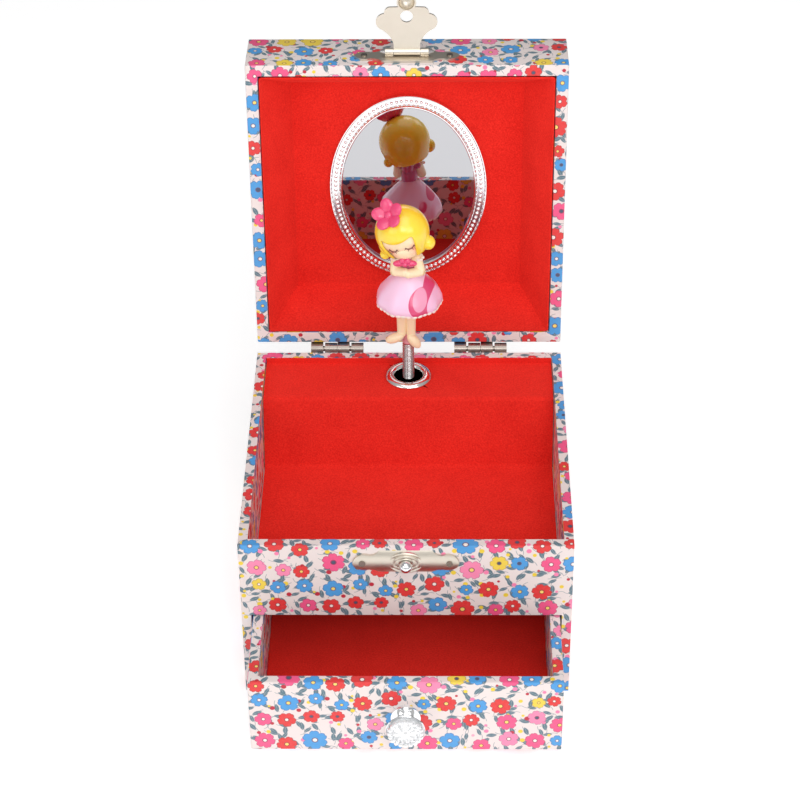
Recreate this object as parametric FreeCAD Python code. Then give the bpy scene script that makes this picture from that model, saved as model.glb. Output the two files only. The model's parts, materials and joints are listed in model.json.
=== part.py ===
"""Musical jewellery box with a folding ballerina, a drawer and a wind-up movement (millimetres)."""

import FreeCAD, Part
import math
import os

V = FreeCAD.Vector

# Frame: X to the right, Y to the back, Z up, origin at the centre of the base's underside.
# It is modelled with the lid open on its stop, the drawer part way out and the hasp upright.

# Carcass
BOX_WIDTH = 110.0
BOX_DEPTH = 110.0
BASE_HEIGHT = 64.0
BASE_BOARD = 3.2
DRAWER_OPENING = 30.9        # clear height of the drawer bay
SHELF_BOARD = 2.1
PARTITION_BOARD = 2.2
CARD = 0.8                   # flocked lining card
LINING_GAP = 0.3             # lining to side board

# Raised platform that hides the movement
PLATFORM_DEPTH = 29.5        # back board to where the sloping front meets the floor
PLATFORM_LEAN = 15.9         # degrees the sloping front leans back
PLATFORM_DROP = 2.0          # deck below the rim
PLATFORM_BOARD = 2.0
SPINDLE_SETBACK = 8.8        # back board to the doll's axis

# Lid
LID_HEIGHT = 21.7
RIM_GAP = 0.3                # paper thickness between the closed rims
LID_WALL = 4.2
LID_TOP_BOARD = 3.2
LID_OPEN_ANGLE = 93.0
TRAY_SLOPE = 10.3            # how far the tray's sides lean in
HINGE_SETBACK = 2.5          # hinge axis behind the back face

# Hinges
HINGE_X = 26.0
HINGE_LENGTH = 19.0
KNUCKLE_R = 2.2
PIN_R = 1.0
PIN_CLEARANCE = 0.06
KNUCKLE_GAP = 0.15
KNUCKLE_RELIEF = 0.7
LEAF = 0.6
LEAF_HEIGHT = 9.5
LEAF_SETBACK = 2.6           # leaf edge below the hinge axis
NAIL_R = 0.6
NAIL_HEAD_R = 1.1
NAIL_HEAD = 0.35
NAIL_LENGTH = 2.6

# Mirror
MIRROR_HALF_WIDTH = 28.0
MIRROR_HALF_HEIGHT = 36.0
MIRROR_FLANGE = 1.4
MIRROR_PROUD = 3.0
MIRROR_FLANGE_WIDTH = 2.1
MIRROR_RING_WIDTH = 4.5
MIRROR_LIP = 0.8
GLASS = 1.5
GLASS_GAP = 0.1

# Hasp and catch
HASP_RISE = 6.4              # hinge line above the lid's rim
HASP_PLATE = 0.8
HASP_BLADE = 0.7
HASP_KNUCKLE_R = 1.3
HASP_KNUCKLE_HALF = 4.5
HASP_EAR = 2.7
HASP_PIN_R = 0.6
HASP_OUT_ANGLE = 87.0        # swung out from hanging, at rest
HASP_HOLE_R = 2.15
CATCH_DROP = 6.6             # catch centre below the base's rim
CATCH_PLATE = 1.4
CATCH_BOW_R = 8.2
CATCH_HALF_HEIGHT = 4.5
STUD_R = 1.9
STUD_NECK_R = 1.1
STUD_REACH = 3.6             # ball centre in front of the base

# Drawer
DRAWER_PULL = 32.4           # how far out it stands
DRAWER_SIDE_GAP = 0.6
DRAWER_LOW_GAP = 0.4
DRAWER_TOP_GAP = 0.7
DRAWER_BACK_GAP = 2.8
DRAWER_FRONT_BOARD = 4.0
DRAWER_SIDE_BOARD = 3.5
DRAWER_FLOOR_BOARD = 2.5
KNOB_R = 6.4
KNOB_REACH = 9.0
KNOB_CUP = 6.4                # cup rim in front of the drawer
KNOB_SIDES = 12
KNOB_SCREW_R = 1.5

# Eyelet and doll
EYELET_HOLE_R = 4.9
EYELET_TUBE = 0.4
EYELET_FLANGE_R = 8.45
EYELET_PROUD = 1.7
SPRING_WIRE = 0.5
SPRING_FIT = 0.1             # spring to spindle
SPRING_LENGTH = 13.8
DOLL_FEET = 12.2             # underside of the collar above the deck
DOLL_LEAN = 1.5              # degrees, to the left
SPINDLE_R = 1.5

# Movement: tooth counts, modules and places of the arbors
TRAIN_MODULE = 0.6
FLY_MODULE = 0.5
RING_TEETH = 40
CYLINDER_PINION_TEETH = 10
CYLINDER_WHEEL_TEETH = 32
SPINDLE_WHEEL_TEETH = 18
IDLER_PINION_TEETH = 10
IDLER_WHEEL_TEETH = 32
FLY_PINION_TEETH = 8
PRESSURE_ANGLE = math.radians(20.0)
ADDENDUM = 0.85
DEDENDUM = 1.25
BACKLASH = 0.24
FLANK_STEPS = 4
CYLINDER_SETBACK = 13.8      # back board to the arbors of the train
BARREL_FLOOR_GAP = 1.7
BARREL_RIM = 1.6             # drum outside the ring of teeth
BARREL_WALL = 0.8
PINION_FACE = 2.4
PINION_GAP = 0.9             # pinion to the wheel above it
WHEEL = 1.4
CYLINDER_GAP = 3.0           # wheel to the cylinder above it
CYLINDER_R = 6.5
CYLINDER_LENGTH = 18.5
CYLINDER_WALL = 0.6
CYLINDER_PIN = 0.5
COMB_TEETH = 18
COMB_GAP = 0.7
COMB_REACH = 15.7
COMB_PLATE = 1.2
ARBOR_R = 1.0
ARBOR_CLEARANCE = 0.05
WINDING_R = 2.0
BEDPLATE = 1.6
BEDPLATE_SCREW_DROP = 6.3
BRIDGE = 1.5
BRACKET_SCREW_X = 4.3
FLY_R = 5.0
KEY_HUB_R = 3.2
KEY_SPAN = 23.0

# Derived places
HALF_W = BOX_WIDTH / 2
HALF_D = BOX_DEPTH / 2
IN_X = HALF_W - BASE_BOARD
IN_Y = HALF_D - BASE_BOARD
BAY_TOP = BASE_BOARD + DRAWER_OPENING
SHELF_TOP = BAY_TOP + SHELF_BOARD
FLOOR_Z = SHELF_TOP + CARD
DECK_Z = BASE_HEIGHT - PLATFORM_DROP
COMPARTMENT_BACK = IN_Y - PLATFORM_DEPTH
SPINDLE_Y = IN_Y - SPINDLE_SETBACK
CYLINDER_Y = IN_Y - CYLINDER_SETBACK
SPRING_BORE_R = SPINDLE_R + SPRING_FIT
SPRING_R = SPRING_BORE_R + SPRING_WIRE
DECK_BOARD_TOP = DECK_Z - CARD
DECK_BOARD_LOW = DECK_BOARD_TOP - PLATFORM_BOARD
LEAN = math.radians(PLATFORM_LEAN)
HINGE_Y = HALF_D + HINGE_SETBACK
HINGE_Z = BASE_HEIGHT
LID_LOW = BASE_HEIGHT + RIM_GAP
LID_TOP = LID_LOW + LID_HEIGHT
LID_CEILING = LID_TOP - LID_TOP_BOARD
TRAY_FLOOR = LID_CEILING - CARD
HASP_Y = -HALF_D - HASP_PLATE - HASP_KNUCKLE_R - 0.1
HASP_Z = LID_LOW + HASP_RISE
CATCH_Z = BASE_HEIGHT - CATCH_DROP
HASP_HOLE = HASP_Z - CATCH_Z
DRAWER_FACE = -HALF_D - DRAWER_PULL
KNOB_Z = BASE_BOARD + DRAWER_LOW_GAP + (DRAWER_OPENING - DRAWER_LOW_GAP - DRAWER_TOP_GAP) / 2
RING_R = RING_TEETH * TRAIN_MODULE / 2
DRUM_R = RING_R + BARREL_RIM
BARREL_Z = BASE_BOARD + BARREL_FLOOR_GAP + DRUM_R
PINION_R = CYLINDER_PINION_TEETH * TRAIN_MODULE / 2
WHEEL_Z = BARREL_Z + RING_R + PINION_FACE / 2 + PINION_GAP
CYLINDER_Z = WHEEL_Z + WHEEL + CYLINDER_GAP
RING_Y = CYLINDER_Y + PINION_R
DRUM_FRONT = RING_Y + DEDENDUM * TRAIN_MODULE
BEDPLATE_Y = IN_Y - BEDPLATE
DRUM_BACK = BEDPLATE_Y - 1.0
SPINDLE_CENTRES = (CYLINDER_WHEEL_TEETH + SPINDLE_WHEEL_TEETH) * TRAIN_MODULE / 2
CYLINDER_X = -math.sqrt(SPINDLE_CENTRES ** 2 - (SPINDLE_Y - CYLINDER_Y) ** 2)
IDLER_X = CYLINDER_X - (CYLINDER_WHEEL_TEETH + IDLER_PINION_TEETH) * TRAIN_MODULE / 2
FLY_X = IDLER_X - (IDLER_WHEEL_TEETH + FLY_PINION_TEETH) * FLY_MODULE / 2
BRIDGE_LOW = BARREL_Z + RING_R - 3.7
BRIDGE_TOP = CYLINDER_Z + CYLINDER_LENGTH + 0.6
BRIDGE_X = FLY_X - FLY_R - 2.2


# Solid helpers

def box(x0, x1, y0, y1, z0, z1):
    """Block between two corners."""
    return Part.makeBox(x1 - x0, y1 - y0, z1 - z0, V(x0, y0, z0))


def rod_x(radius, x0, x1, y, z):
    """Round bar along X."""
    return Part.makeCylinder(radius, x1 - x0, V(x0, y, z), V(1, 0, 0))


def rod_y(radius, y0, y1, x, z):
    """Round bar along Y."""
    return Part.makeCylinder(radius, y1 - y0, V(x, y0, z), V(0, 1, 0))


def rod_z(radius, z0, z1, x, y):
    """Round bar along Z."""
    return Part.makeCylinder(radius, z1 - z0, V(x, y, z0), V(0, 0, 1))


def face_of(points):
    """Flat face inside a closed run of straight edges."""
    return Part.Face(Part.makePolygon(points + [points[0]]))


def prism_x(profile, x0, x1):
    """Profile of (y, z) points carried along X."""
    face = face_of([V(x0, y, z) for y, z in profile])
    return face.extrude(V(x1 - x0, 0, 0))


def prism_y(profile, y0, y1):
    """Profile of (x, z) points carried along Y."""
    face = face_of([V(x, y0, z) for x, z in profile])
    return face.extrude(V(0, y1 - y0, 0))


def prism_z(profile, z0, z1):
    """Profile of (x, y) points carried along Z."""
    face = face_of([V(x, y, z0) for x, y in profile])
    return face.extrude(V(0, 0, z1 - z0))


def turned_z(profile, x, y):
    """Profile of (radius, z) points turned about a vertical axis."""
    face = face_of([V(x + r, y, z) for r, z in profile])
    return face.revolve(V(x, y, 0), V(0, 0, 1), 360)


def turned_y(profile, x, z):
    """Profile of (radius, y) points turned about an axis along Y."""
    face = face_of([V(x + r, y, z) for r, y in profile])
    return face.revolve(V(x, 0, z), V(0, 1, 0), 360)


def turned(shape, point, direction, angle):
    """Copy of a shape turned about an axis."""
    copy = shape.copy()
    copy.rotate(point, direction, angle)
    return copy


def opened(shape):
    """Lid piece, built closed, swung open on the hinge."""
    return turned(shape, V(0, HINGE_Y, HINGE_Z), V(1, 0, 0), -LID_OPEN_ANGLE)


def ellipse_y(half_x, half_y, centre_y, z0, z1):
    """Upright oval disc."""
    long_first = half_y >= half_x
    major, minor = (half_y, half_x) if long_first else (half_x, half_y)
    oval = Part.Ellipse(V(0, 0, 0), major, minor)
    face = Part.Face(Part.Wire(oval.toShape()))
    if long_first:
        face.rotate(V(0, 0, 0), V(0, 0, 1), 90)
    face.translate(V(0, centre_y, z0))
    return face.extrude(V(0, 0, z1 - z0))


def half_outline(start, pieces):
    """Edges of one half of an outline: each piece is (end) for a line or (middle, end) for an arc."""
    edges = []
    here = start
    for piece in pieces:
        points = [V(x, 0, z) for x, z in piece]
        if len(points) == 1:
            edges.append(Part.LineSegment(V(here[0], 0, here[1]), points[0]).toShape())
        else:
            edges.append(Part.Arc(V(here[0], 0, here[1]), points[0], points[1]).toShape())
        here = piece[-1]
    return edges


def symmetric_plate(start, pieces, y0, y1):
    """Plate whose outline is one half and its mirror image across X = 0."""
    right = half_outline(start, pieces)
    left = [edge.mirror(V(0, 0, 0), V(1, 0, 0)) for edge in right]
    ends = [start, pieces[-1][-1]]
    closing = []
    for x, z in ends:
        if x > 0:
            closing.append(Part.LineSegment(V(-x, 0, z), V(x, 0, z)).toShape())
    wire = Part.Wire(Part.__sortEdges__(right + left + closing))
    plate = Part.Face(wire).extrude(V(0, y1 - y0, 0))
    plate.translate(V(0, y0, 0))
    return plate


def slope_y(z, behind):
    """Y of the platform's sloping front at a height, this far behind the visible face."""
    return COMPARTMENT_BACK + (z - FLOOR_Z) * math.tan(LEAN) + behind / math.cos(LEAN)


# Base carcass

def bottom_board():
    return box(-IN_X, IN_X, -HALF_D, IN_Y, 0, BASE_BOARD)


def side_board(side):
    x = side * (IN_X + BASE_BOARD / 2)
    return box(x - BASE_BOARD / 2, x + BASE_BOARD / 2, -HALF_D, HALF_D, 0, BASE_HEIGHT)


def back_board():
    board = box(-IN_X, IN_X, IN_Y, HALF_D, 0, BASE_HEIGHT)
    board = board.cut(rod_y(WINDING_R + 1.5, IN_Y - 1, HALF_D + 1, CYLINDER_X, BARREL_Z))
    for x, z in bedplate_corners():
        board = board.cut(rod_y(NAIL_R + 0.6, IN_Y - 1, HALF_D + 1, x, z))
    return board.cut(hinge_nails_base())


def front_board():
    board = box(-IN_X, IN_X, -HALF_D, -IN_Y, BAY_TOP, BASE_HEIGHT)
    return board.cut(catch_nails()).cut(catch_stud())


def partition_back():
    return slope_y(SHELF_TOP, CARD + PLATFORM_BOARD)


def partition_front():
    return partition_back() - PARTITION_BOARD


def shelf_board():
    return box(-IN_X, IN_X, -IN_Y, partition_back(), BAY_TOP, SHELF_TOP)


def partition_board():
    return box(-IN_X, IN_X, partition_front(), partition_back(), BASE_BOARD, BAY_TOP)


def platform_board():
    """Bent board: the sloping front and the deck over the movement."""
    behind = CARD + PLATFORM_BOARD
    profile = [
        (slope_y(SHELF_TOP, CARD), SHELF_TOP),
        (slope_y(DECK_BOARD_TOP, CARD), DECK_BOARD_TOP),
        (IN_Y, DECK_BOARD_TOP),
        (IN_Y, DECK_BOARD_LOW),
        (slope_y(DECK_BOARD_LOW, behind), DECK_BOARD_LOW),
        (slope_y(SHELF_TOP, behind), SHELF_TOP),
    ]
    return prism_x(profile, -IN_X, IN_X).cut(eyelet_hole())


def compartment_lining():
    """One flocked card folded over the floor, the slope and the deck."""
    profile = [
        (-IN_Y, SHELF_TOP),
        (-IN_Y, FLOOR_Z),
        (slope_y(FLOOR_Z, 0), FLOOR_Z),
        (slope_y(DECK_Z, 0), DECK_Z),
        (IN_Y, DECK_Z),
        (IN_Y, DECK_BOARD_TOP),
        (slope_y(DECK_BOARD_TOP, CARD), DECK_BOARD_TOP),
        (slope_y(SHELF_TOP, CARD), SHELF_TOP),
    ]
    return prism_x(profile, LINING_GAP - IN_X, IN_X - LINING_GAP).cut(eyelet_hole())


# Eyelet

def eyelet_hole():
    radius = EYELET_HOLE_R + EYELET_TUBE + 0.1
    return rod_z(radius, DECK_BOARD_LOW - 1, DECK_Z + 1, 0, SPINDLE_Y)


def eyelet():
    """Rolled metal eyelet round the doll's spring."""
    tube_r = EYELET_HOLE_R + EYELET_TUBE
    crown_r = (EYELET_FLANGE_R + EYELET_HOLE_R) / 2
    low = DECK_BOARD_LOW
    profile = [
        (EYELET_HOLE_R, low - 0.6),
        (tube_r + 1.5, low - 0.6),
        (tube_r + 1.5, low),
        (tube_r, low),
        (tube_r, DECK_Z),
        (EYELET_FLANGE_R, DECK_Z),
        (EYELET_FLANGE_R - 0.2, DECK_Z + 0.55 * EYELET_PROUD),
        (crown_r + 0.7, DECK_Z + 0.95 * EYELET_PROUD),
        (crown_r, DECK_Z + EYELET_PROUD),
        (crown_r - 0.8, DECK_Z + 0.9 * EYELET_PROUD),
        (EYELET_HOLE_R + 0.2, DECK_Z + 0.5 * EYELET_PROUD),
    ]
    return turned_z(profile, 0, SPINDLE_Y)


# Hinges

def knuckle_spans(centre):
    """Four knuckles of one hinge, left to right."""
    length = (HINGE_LENGTH - 2 * KNUCKLE_RELIEF - KNUCKLE_GAP) / 4
    x = centre - HINGE_LENGTH / 2
    spans = []
    for gap in (KNUCKLE_RELIEF, KNUCKLE_GAP, KNUCKLE_RELIEF, 0):
        spans.append((x, x + length))
        x += length + gap
    return spans


def hinge_leaf(centre, knuckles, up):
    """Leaf on the back face with its rolled knuckles; up is +1 on the lid and -1 on the base."""
    near = HINGE_Z + up * LEAF_SETBACK
    far = HINGE_Z + up * LEAF_HEIGHT
    low, high = sorted((near, far))
    half = HINGE_LENGTH / 2
    leaf = box(centre - half, centre + half, HALF_D, HALF_D + LEAF, low, high)
    spans = knuckle_spans(centre)
    for index in knuckles:
        x0, x1 = spans[index]
        low, high = sorted((HINGE_Z, near))
        leaf = leaf.fuse(box(x0, x1, HALF_D + 0.3, HALF_D + LEAF, low, high))
        leaf = leaf.fuse(rod_x(KNUCKLE_R, x0, x1, HINGE_Y, HINGE_Z))
    bore = PIN_R + PIN_CLEARANCE
    leaf = leaf.cut(rod_x(bore, centre - half - 1, centre + half + 1, HINGE_Y, HINGE_Z))
    for x in (centre - 6, centre + 6):
        z = HINGE_Z + up * (LEAF_HEIGHT - 3)
        leaf = leaf.cut(rod_y(NAIL_R, HALF_D - 1, HALF_D + 2, x, z))
    return leaf.removeSplitter()


def hinge_base_leaves():
    return [hinge_leaf(side * HINGE_X, (1, 3), -1) for side in (-1, 1)]


def hinge_lid_leaves():
    return [opened(hinge_leaf(side * HINGE_X, (0, 2), 1)) for side in (-1, 1)]


def hinge_pins():
    half = HINGE_LENGTH / 2
    return [rod_x(PIN_R, side * HINGE_X - half, side * HINGE_X + half, HINGE_Y, HINGE_Z)
            for side in (-1, 1)]


def nail(x, z, outer_y, outward):
    """Round-headed nail along Y; outward is the way its head faces."""
    tip = outer_y - outward * NAIL_LENGTH
    low, high = sorted((tip, outer_y))
    shank = rod_y(NAIL_R, low, high, x, z)
    low, high = sorted((outer_y, outer_y + outward * NAIL_HEAD))
    return shank.fuse(rod_y(NAIL_HEAD_R, low, high, x, z))


def hinge_nail_group(up):
    z = HINGE_Z + up * (LEAF_HEIGHT - 3)
    places = [side * HINGE_X + x for side in (-1, 1) for x in (-6, 6)]
    return Part.makeCompound([nail(x, z, HALF_D + LEAF, 1) for x in places])


def hinge_nails_base():
    return hinge_nail_group(-1)


# Lid, built closed

def lid_top_board():
    return box(-HALF_W, HALF_W, -HALF_D, HALF_D, LID_CEILING, LID_TOP)


def lid_front_board():
    board = box(-HALF_W, HALF_W, -HALF_D, LID_WALL - HALF_D, LID_LOW, LID_CEILING)
    return board.cut(hasp_nails())


def lid_back_board():
    board = box(-HALF_W, HALF_W, HALF_D - LID_WALL, HALF_D, LID_LOW, LID_CEILING)
    return board.cut(hinge_nail_group(1))


def lid_side_boards():
    inner = HALF_D - LID_WALL
    left = box(-HALF_W, LID_WALL - HALF_W, -inner, inner, LID_LOW, LID_CEILING)
    right = box(HALF_W - LID_WALL, HALF_W, -inner, inner, LID_LOW, LID_CEILING)
    return [left, right]


def tray_block(rim_half_x, rim_half_y, z0, floor_half_x, floor_half_y, z1):
    """Block that narrows upwards."""
    wires = []
    for half_x, half_y, z in ((rim_half_x, rim_half_y, z0), (floor_half_x, floor_half_y, z1)):
        corners = [V(-half_x, -half_y, z), V(half_x, -half_y, z), V(half_x, half_y, z), V(-half_x, half_y, z)]
        wires.append(Part.makePolygon(corners + [corners[0]]))
    return Part.makeLoft(wires, True, True)


def lid_lining():
    """Flocked tray with four slanting sides and a flat panel."""
    rim_x = HALF_W - LID_WALL
    rim_y = HALF_D - LID_WALL
    outer = tray_block(rim_x, rim_y, LID_LOW, rim_x - TRAY_SLOPE + CARD, rim_y - TRAY_SLOPE + CARD, LID_CEILING)
    inner = tray_block(rim_x - CARD, rim_y - CARD, LID_LOW, rim_x - TRAY_SLOPE, rim_y - TRAY_SLOPE, TRAY_FLOOR)
    return outer.cut(inner)


def mirror_frame():
    """Oval ring with a thin outer flange and a rebate behind its lip for the glass."""
    flange = ellipse_y(MIRROR_HALF_WIDTH, MIRROR_HALF_HEIGHT, 0, TRAY_FLOOR - MIRROR_FLANGE, TRAY_FLOOR)
    inset = MIRROR_FLANGE_WIDTH
    face = TRAY_FLOOR - MIRROR_PROUD
    ring = ellipse_y(MIRROR_HALF_WIDTH - inset, MIRROR_HALF_HEIGHT - inset, 0, face, TRAY_FLOOR)
    half_x = MIRROR_HALF_WIDTH - MIRROR_RING_WIDTH
    half_y = MIRROR_HALF_HEIGHT - MIRROR_RING_WIDTH
    opening = ellipse_y(half_x, half_y, 0, face - 1, TRAY_FLOOR + 1)
    rebate_low = TRAY_FLOOR - GLASS - GLASS_GAP
    rebate = ellipse_y(half_x + MIRROR_LIP, half_y + MIRROR_LIP, 0, rebate_low, TRAY_FLOOR + 1)
    return flange.fuse(ring).cut(opening).cut(rebate)


def mirror_glass():
    half_x = MIRROR_HALF_WIDTH - MIRROR_RING_WIDTH + MIRROR_LIP - GLASS_GAP
    half_y = MIRROR_HALF_HEIGHT - MIRROR_RING_WIDTH + MIRROR_LIP - GLASS_GAP
    return ellipse_y(half_x, half_y, 0, TRAY_FLOOR - GLASS, TRAY_FLOOR)


# Hasp and catch, built closed

def hasp_plate():
    """Ornamental plate on the lid's front with two ears for the hasp's pin."""
    z = HASP_Z
    start = (0, z + 4.4)
    pieces = [
        [(8.6, z + 4.4)],
        [(10.2, z + 3.0), (12.4, z + 2.5)],
        [(16.6, z + 2.1), (18.0, z)],
        [(16.6, z - 2.1), (12.4, z - 2.5)],
        [(10.2, z - 3.0), (8.6, z - 4.4)],
        [(0, z - 4.4)],
    ]
    plate = symmetric_plate(start, pieces, -HALF_D - HASP_PLATE, -HALF_D)
    for side in (-1, 1):
        near = HASP_KNUCKLE_HALF + 0.15
        x0, x1 = sorted((side * near, side * (near + HASP_EAR)))
        plate = plate.fuse(rod_x(HASP_KNUCKLE_R, x0, x1, HASP_Y, HASP_Z))
        plate = plate.fuse(box(x0, x1, HASP_Y, -HALF_D, HASP_Z - 0.5, HASP_Z + 0.5))
    reach = HASP_KNUCKLE_HALF + HASP_EAR + 1
    plate = plate.cut(rod_x(HASP_PIN_R, -reach, reach, HASP_Y, HASP_Z))
    for x in (-14.6, 14.6):
        plate = plate.cut(rod_y(NAIL_R, -HALF_D - 2, -HALF_D + 1, x, HASP_Z))
    return plate.removeSplitter()


def hasp_nails():
    return Part.makeCompound([nail(x, HASP_Z, -HALF_D - HASP_PLATE, -1) for x in (-14.6, 14.6)])


def hasp_pin():
    """Pin with a pointed bead at each end."""
    reach = HASP_KNUCKLE_HALF + 0.15 + HASP_EAR
    pin = rod_x(HASP_PIN_R, -reach, reach, HASP_Y, HASP_Z)
    for side in (-1, 1):
        start = V(side * reach, HASP_Y, HASP_Z)
        pin = pin.fuse(Part.makeCone(HASP_KNUCKLE_R, 0.4, 1.8, start, V(side, 0, 0)))
    return pin


def hasp():
    """Shell-shaped blade with a hole for the catch and a hollow domed finger tab."""
    z = HASP_Z
    start = (0, z - 1.0)
    pieces = [
        [(HASP_KNUCKLE_HALF, z - 1.0)],
        [(HASP_KNUCKLE_HALF, z - 3.0)],
        [(5.9, z - 6.0), (8.9, z - 8.6)],
        [(10.4, z - 11.6), (7.6, z - 14.3)],
        [(7.3, z - 15.6), (6.0, z - 16.7)],
        [(0, z - 16.9)],
    ]
    front = HASP_Y - HASP_BLADE / 2
    blade = symmetric_plate(start, pieces, front, front + HASP_BLADE)
    half = HASP_KNUCKLE_HALF
    blade = blade.fuse(rod_x(HASP_KNUCKLE_R, -half, half, HASP_Y, z))
    tab = V(0, front + HASP_BLADE, z - 18.5)
    dome = Part.makeSphere(3.3, tab).cut(Part.makeSphere(2.75, tab))
    dome = dome.cut(box(-4, 4, tab.y, tab.y + 4, tab.z - 4, tab.z + 4))
    blade = blade.cut(Part.makeSphere(2.75, tab)).fuse(dome)
    blade = blade.cut(rod_x(HASP_PIN_R + 0.05, -half - 1, half + 1, HASP_Y, z))
    blade = blade.cut(rod_y(HASP_HOLE_R, HASP_Y - 2, HASP_Y + 2, 0, CATCH_Z))
    return blade.removeSplitter()


def hasp_at_rest():
    out = turned(hasp(), V(0, HASP_Y, HASP_Z), V(1, 0, 0), -HASP_OUT_ANGLE)
    return opened(out)


def catch_plate():
    """Bowed plate with scalloped ends and a raised round boss."""
    z = CATCH_Z
    half = CATCH_HALF_HEIGHT
    start = (0, z + half)
    pieces = [
        [(8.8, z + half)],
        [(10.2, z + 3.2), (12.2, z + 2.9)],
        [(16.2, z + 2.3), (17.5, z)],
        [(16.2, z - 2.3), (12.2, z - 2.9)],
        [(10.2, z - 3.2), (8.8, z - half)],
        [(0, z - half)],
    ]
    plate = symmetric_plate(start, pieces, -HALF_D - CATCH_PLATE, -HALF_D)
    bow = rod_x(CATCH_BOW_R, -30, 30, CATCH_BOW_R - HALF_D - CATCH_PLATE, z)
    plate = plate.common(bow)
    plate = plate.cut(catch_stud())
    for x in (-14.3, 14.3):
        plate = plate.cut(rod_y(NAIL_R, -HALF_D - 2, -HALF_D + 1, x, z))
    return plate


def catch_stud():
    """Ball stud that the hasp's hole snaps over."""
    ball_y = -HALF_D - STUD_REACH
    stud = rod_y(STUD_NECK_R, ball_y, -HALF_D + 2.4, 0, CATCH_Z)
    return stud.fuse(Part.makeSphere(STUD_R, V(0, ball_y, CATCH_Z)))


def catch_nails():
    face = -HALF_D - CATCH_PLATE
    return Part.makeCompound([nail(x, CATCH_Z, face, -1) for x in (-14.3, 14.3)])


# Drawer, built where it stands

def drawer_limits():
    """Outer half width, underside, top, back face."""
    half = IN_X - DRAWER_SIDE_GAP
    low = BASE_BOARD + DRAWER_LOW_GAP
    top = BAY_TOP - DRAWER_TOP_GAP
    back = partition_front() - DRAWER_BACK_GAP - DRAWER_PULL
    return half, low, top, back


def drawer_front():
    half, low, top, back = drawer_limits()
    front = box(-half, half, DRAWER_FACE, DRAWER_FACE + DRAWER_FRONT_BOARD, low, top)
    return front.cut(rod_y(KNOB_SCREW_R, DRAWER_FACE - 1, DRAWER_FACE + 6, 0, KNOB_Z))


def drawer_sides():
    half, low, top, back = drawer_limits()
    y0 = DRAWER_FACE + DRAWER_FRONT_BOARD
    left = box(-half, DRAWER_SIDE_BOARD - half, y0, back, low, top)
    right = box(half - DRAWER_SIDE_BOARD, half, y0, back, low, top)
    return [left, right]


def drawer_back():
    half, low, top, back = drawer_limits()
    inner = half - DRAWER_SIDE_BOARD
    return box(-inner, inner, back - DRAWER_SIDE_BOARD, back, low, top)


def drawer_bottom():
    half, low, top, back = drawer_limits()
    inner = half - DRAWER_SIDE_BOARD
    y0 = DRAWER_FACE + DRAWER_FRONT_BOARD
    return box(-inner, inner, y0, back - DRAWER_SIDE_BOARD, low, low + DRAWER_FLOOR_BOARD)


def drawer_lining():
    half, low, top, back = drawer_limits()
    inner = half - DRAWER_SIDE_BOARD
    y0 = DRAWER_FACE + DRAWER_FRONT_BOARD
    floor = low + DRAWER_FLOOR_BOARD
    return box(-inner, inner, y0, back - DRAWER_SIDE_BOARD, floor, floor + CARD)


def knob_base():
    """Turned metal base: flange, waist and cup."""
    face = DRAWER_FACE
    cup = face - KNOB_CUP
    profile = [
        (KNOB_SCREW_R, face),
        (0.8 * KNOB_R, face),
        (0.76 * KNOB_R, face - 0.9),
        (0.42 * KNOB_R, face - 1.7),
        (0.42 * KNOB_R, face - 3.9),
        (0.94 * KNOB_R, cup + 0.7),
        (KNOB_R, cup),
        (KNOB_R - 0.5, cup),
        (KNOB_R - 0.9, cup + 0.8),
        (0, cup + 0.8),
        (0, cup + 1.4),
        (KNOB_SCREW_R, cup + 1.4),
    ]
    return turned_y(profile, 0, KNOB_Z)


def knob_crystal():
    """Faceted crystal held in the cup."""
    cup = DRAWER_FACE - KNOB_CUP
    tip = DRAWER_FACE - KNOB_REACH
    sections = [
        (KNOB_R - 1.2, cup + 0.8),
        (KNOB_R - 0.7, cup),
        (0.72 * KNOB_R, tip),
    ]
    solids = []
    for (r0, y0), (r1, y1) in zip(sections, sections[1:]):
        wires = []
        for radius, y in ((r0, y0), (r1, y1)):
            ring = []
            for step in range(KNOB_SIDES):
                angle = 2 * math.pi * step / KNOB_SIDES
                ring.append(V(radius * math.cos(angle), y, KNOB_Z + radius * math.sin(angle)))
            wires.append(Part.makePolygon(ring + [ring[0]]))
        solids.append(Part.makeLoft(wires, True, True))
    return solids[0].fuse(solids[1]).removeSplitter()


def knob_screw():
    inner = DRAWER_FACE + DRAWER_FRONT_BOARD
    cup = DRAWER_FACE - KNOB_CUP
    shank = rod_y(KNOB_SCREW_R, cup + 1.4, inner, 0, KNOB_Z)
    return shank.fuse(rod_y(2 * KNOB_SCREW_R, inner, inner + 1.3, 0, KNOB_Z))


# Doll

def doll_spring():
    """Close-wound spring between the spindle and the doll."""
    low = DECK_Z + DOLL_FEET - SPRING_LENGTH
    outer = rod_z(SPRING_R, low, low + SPRING_LENGTH, 0, SPINDLE_Y)
    return outer.cut(rod_z(SPRING_BORE_R, low - 1, low + SPRING_LENGTH + 1, 0, SPINDLE_Y))


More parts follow.
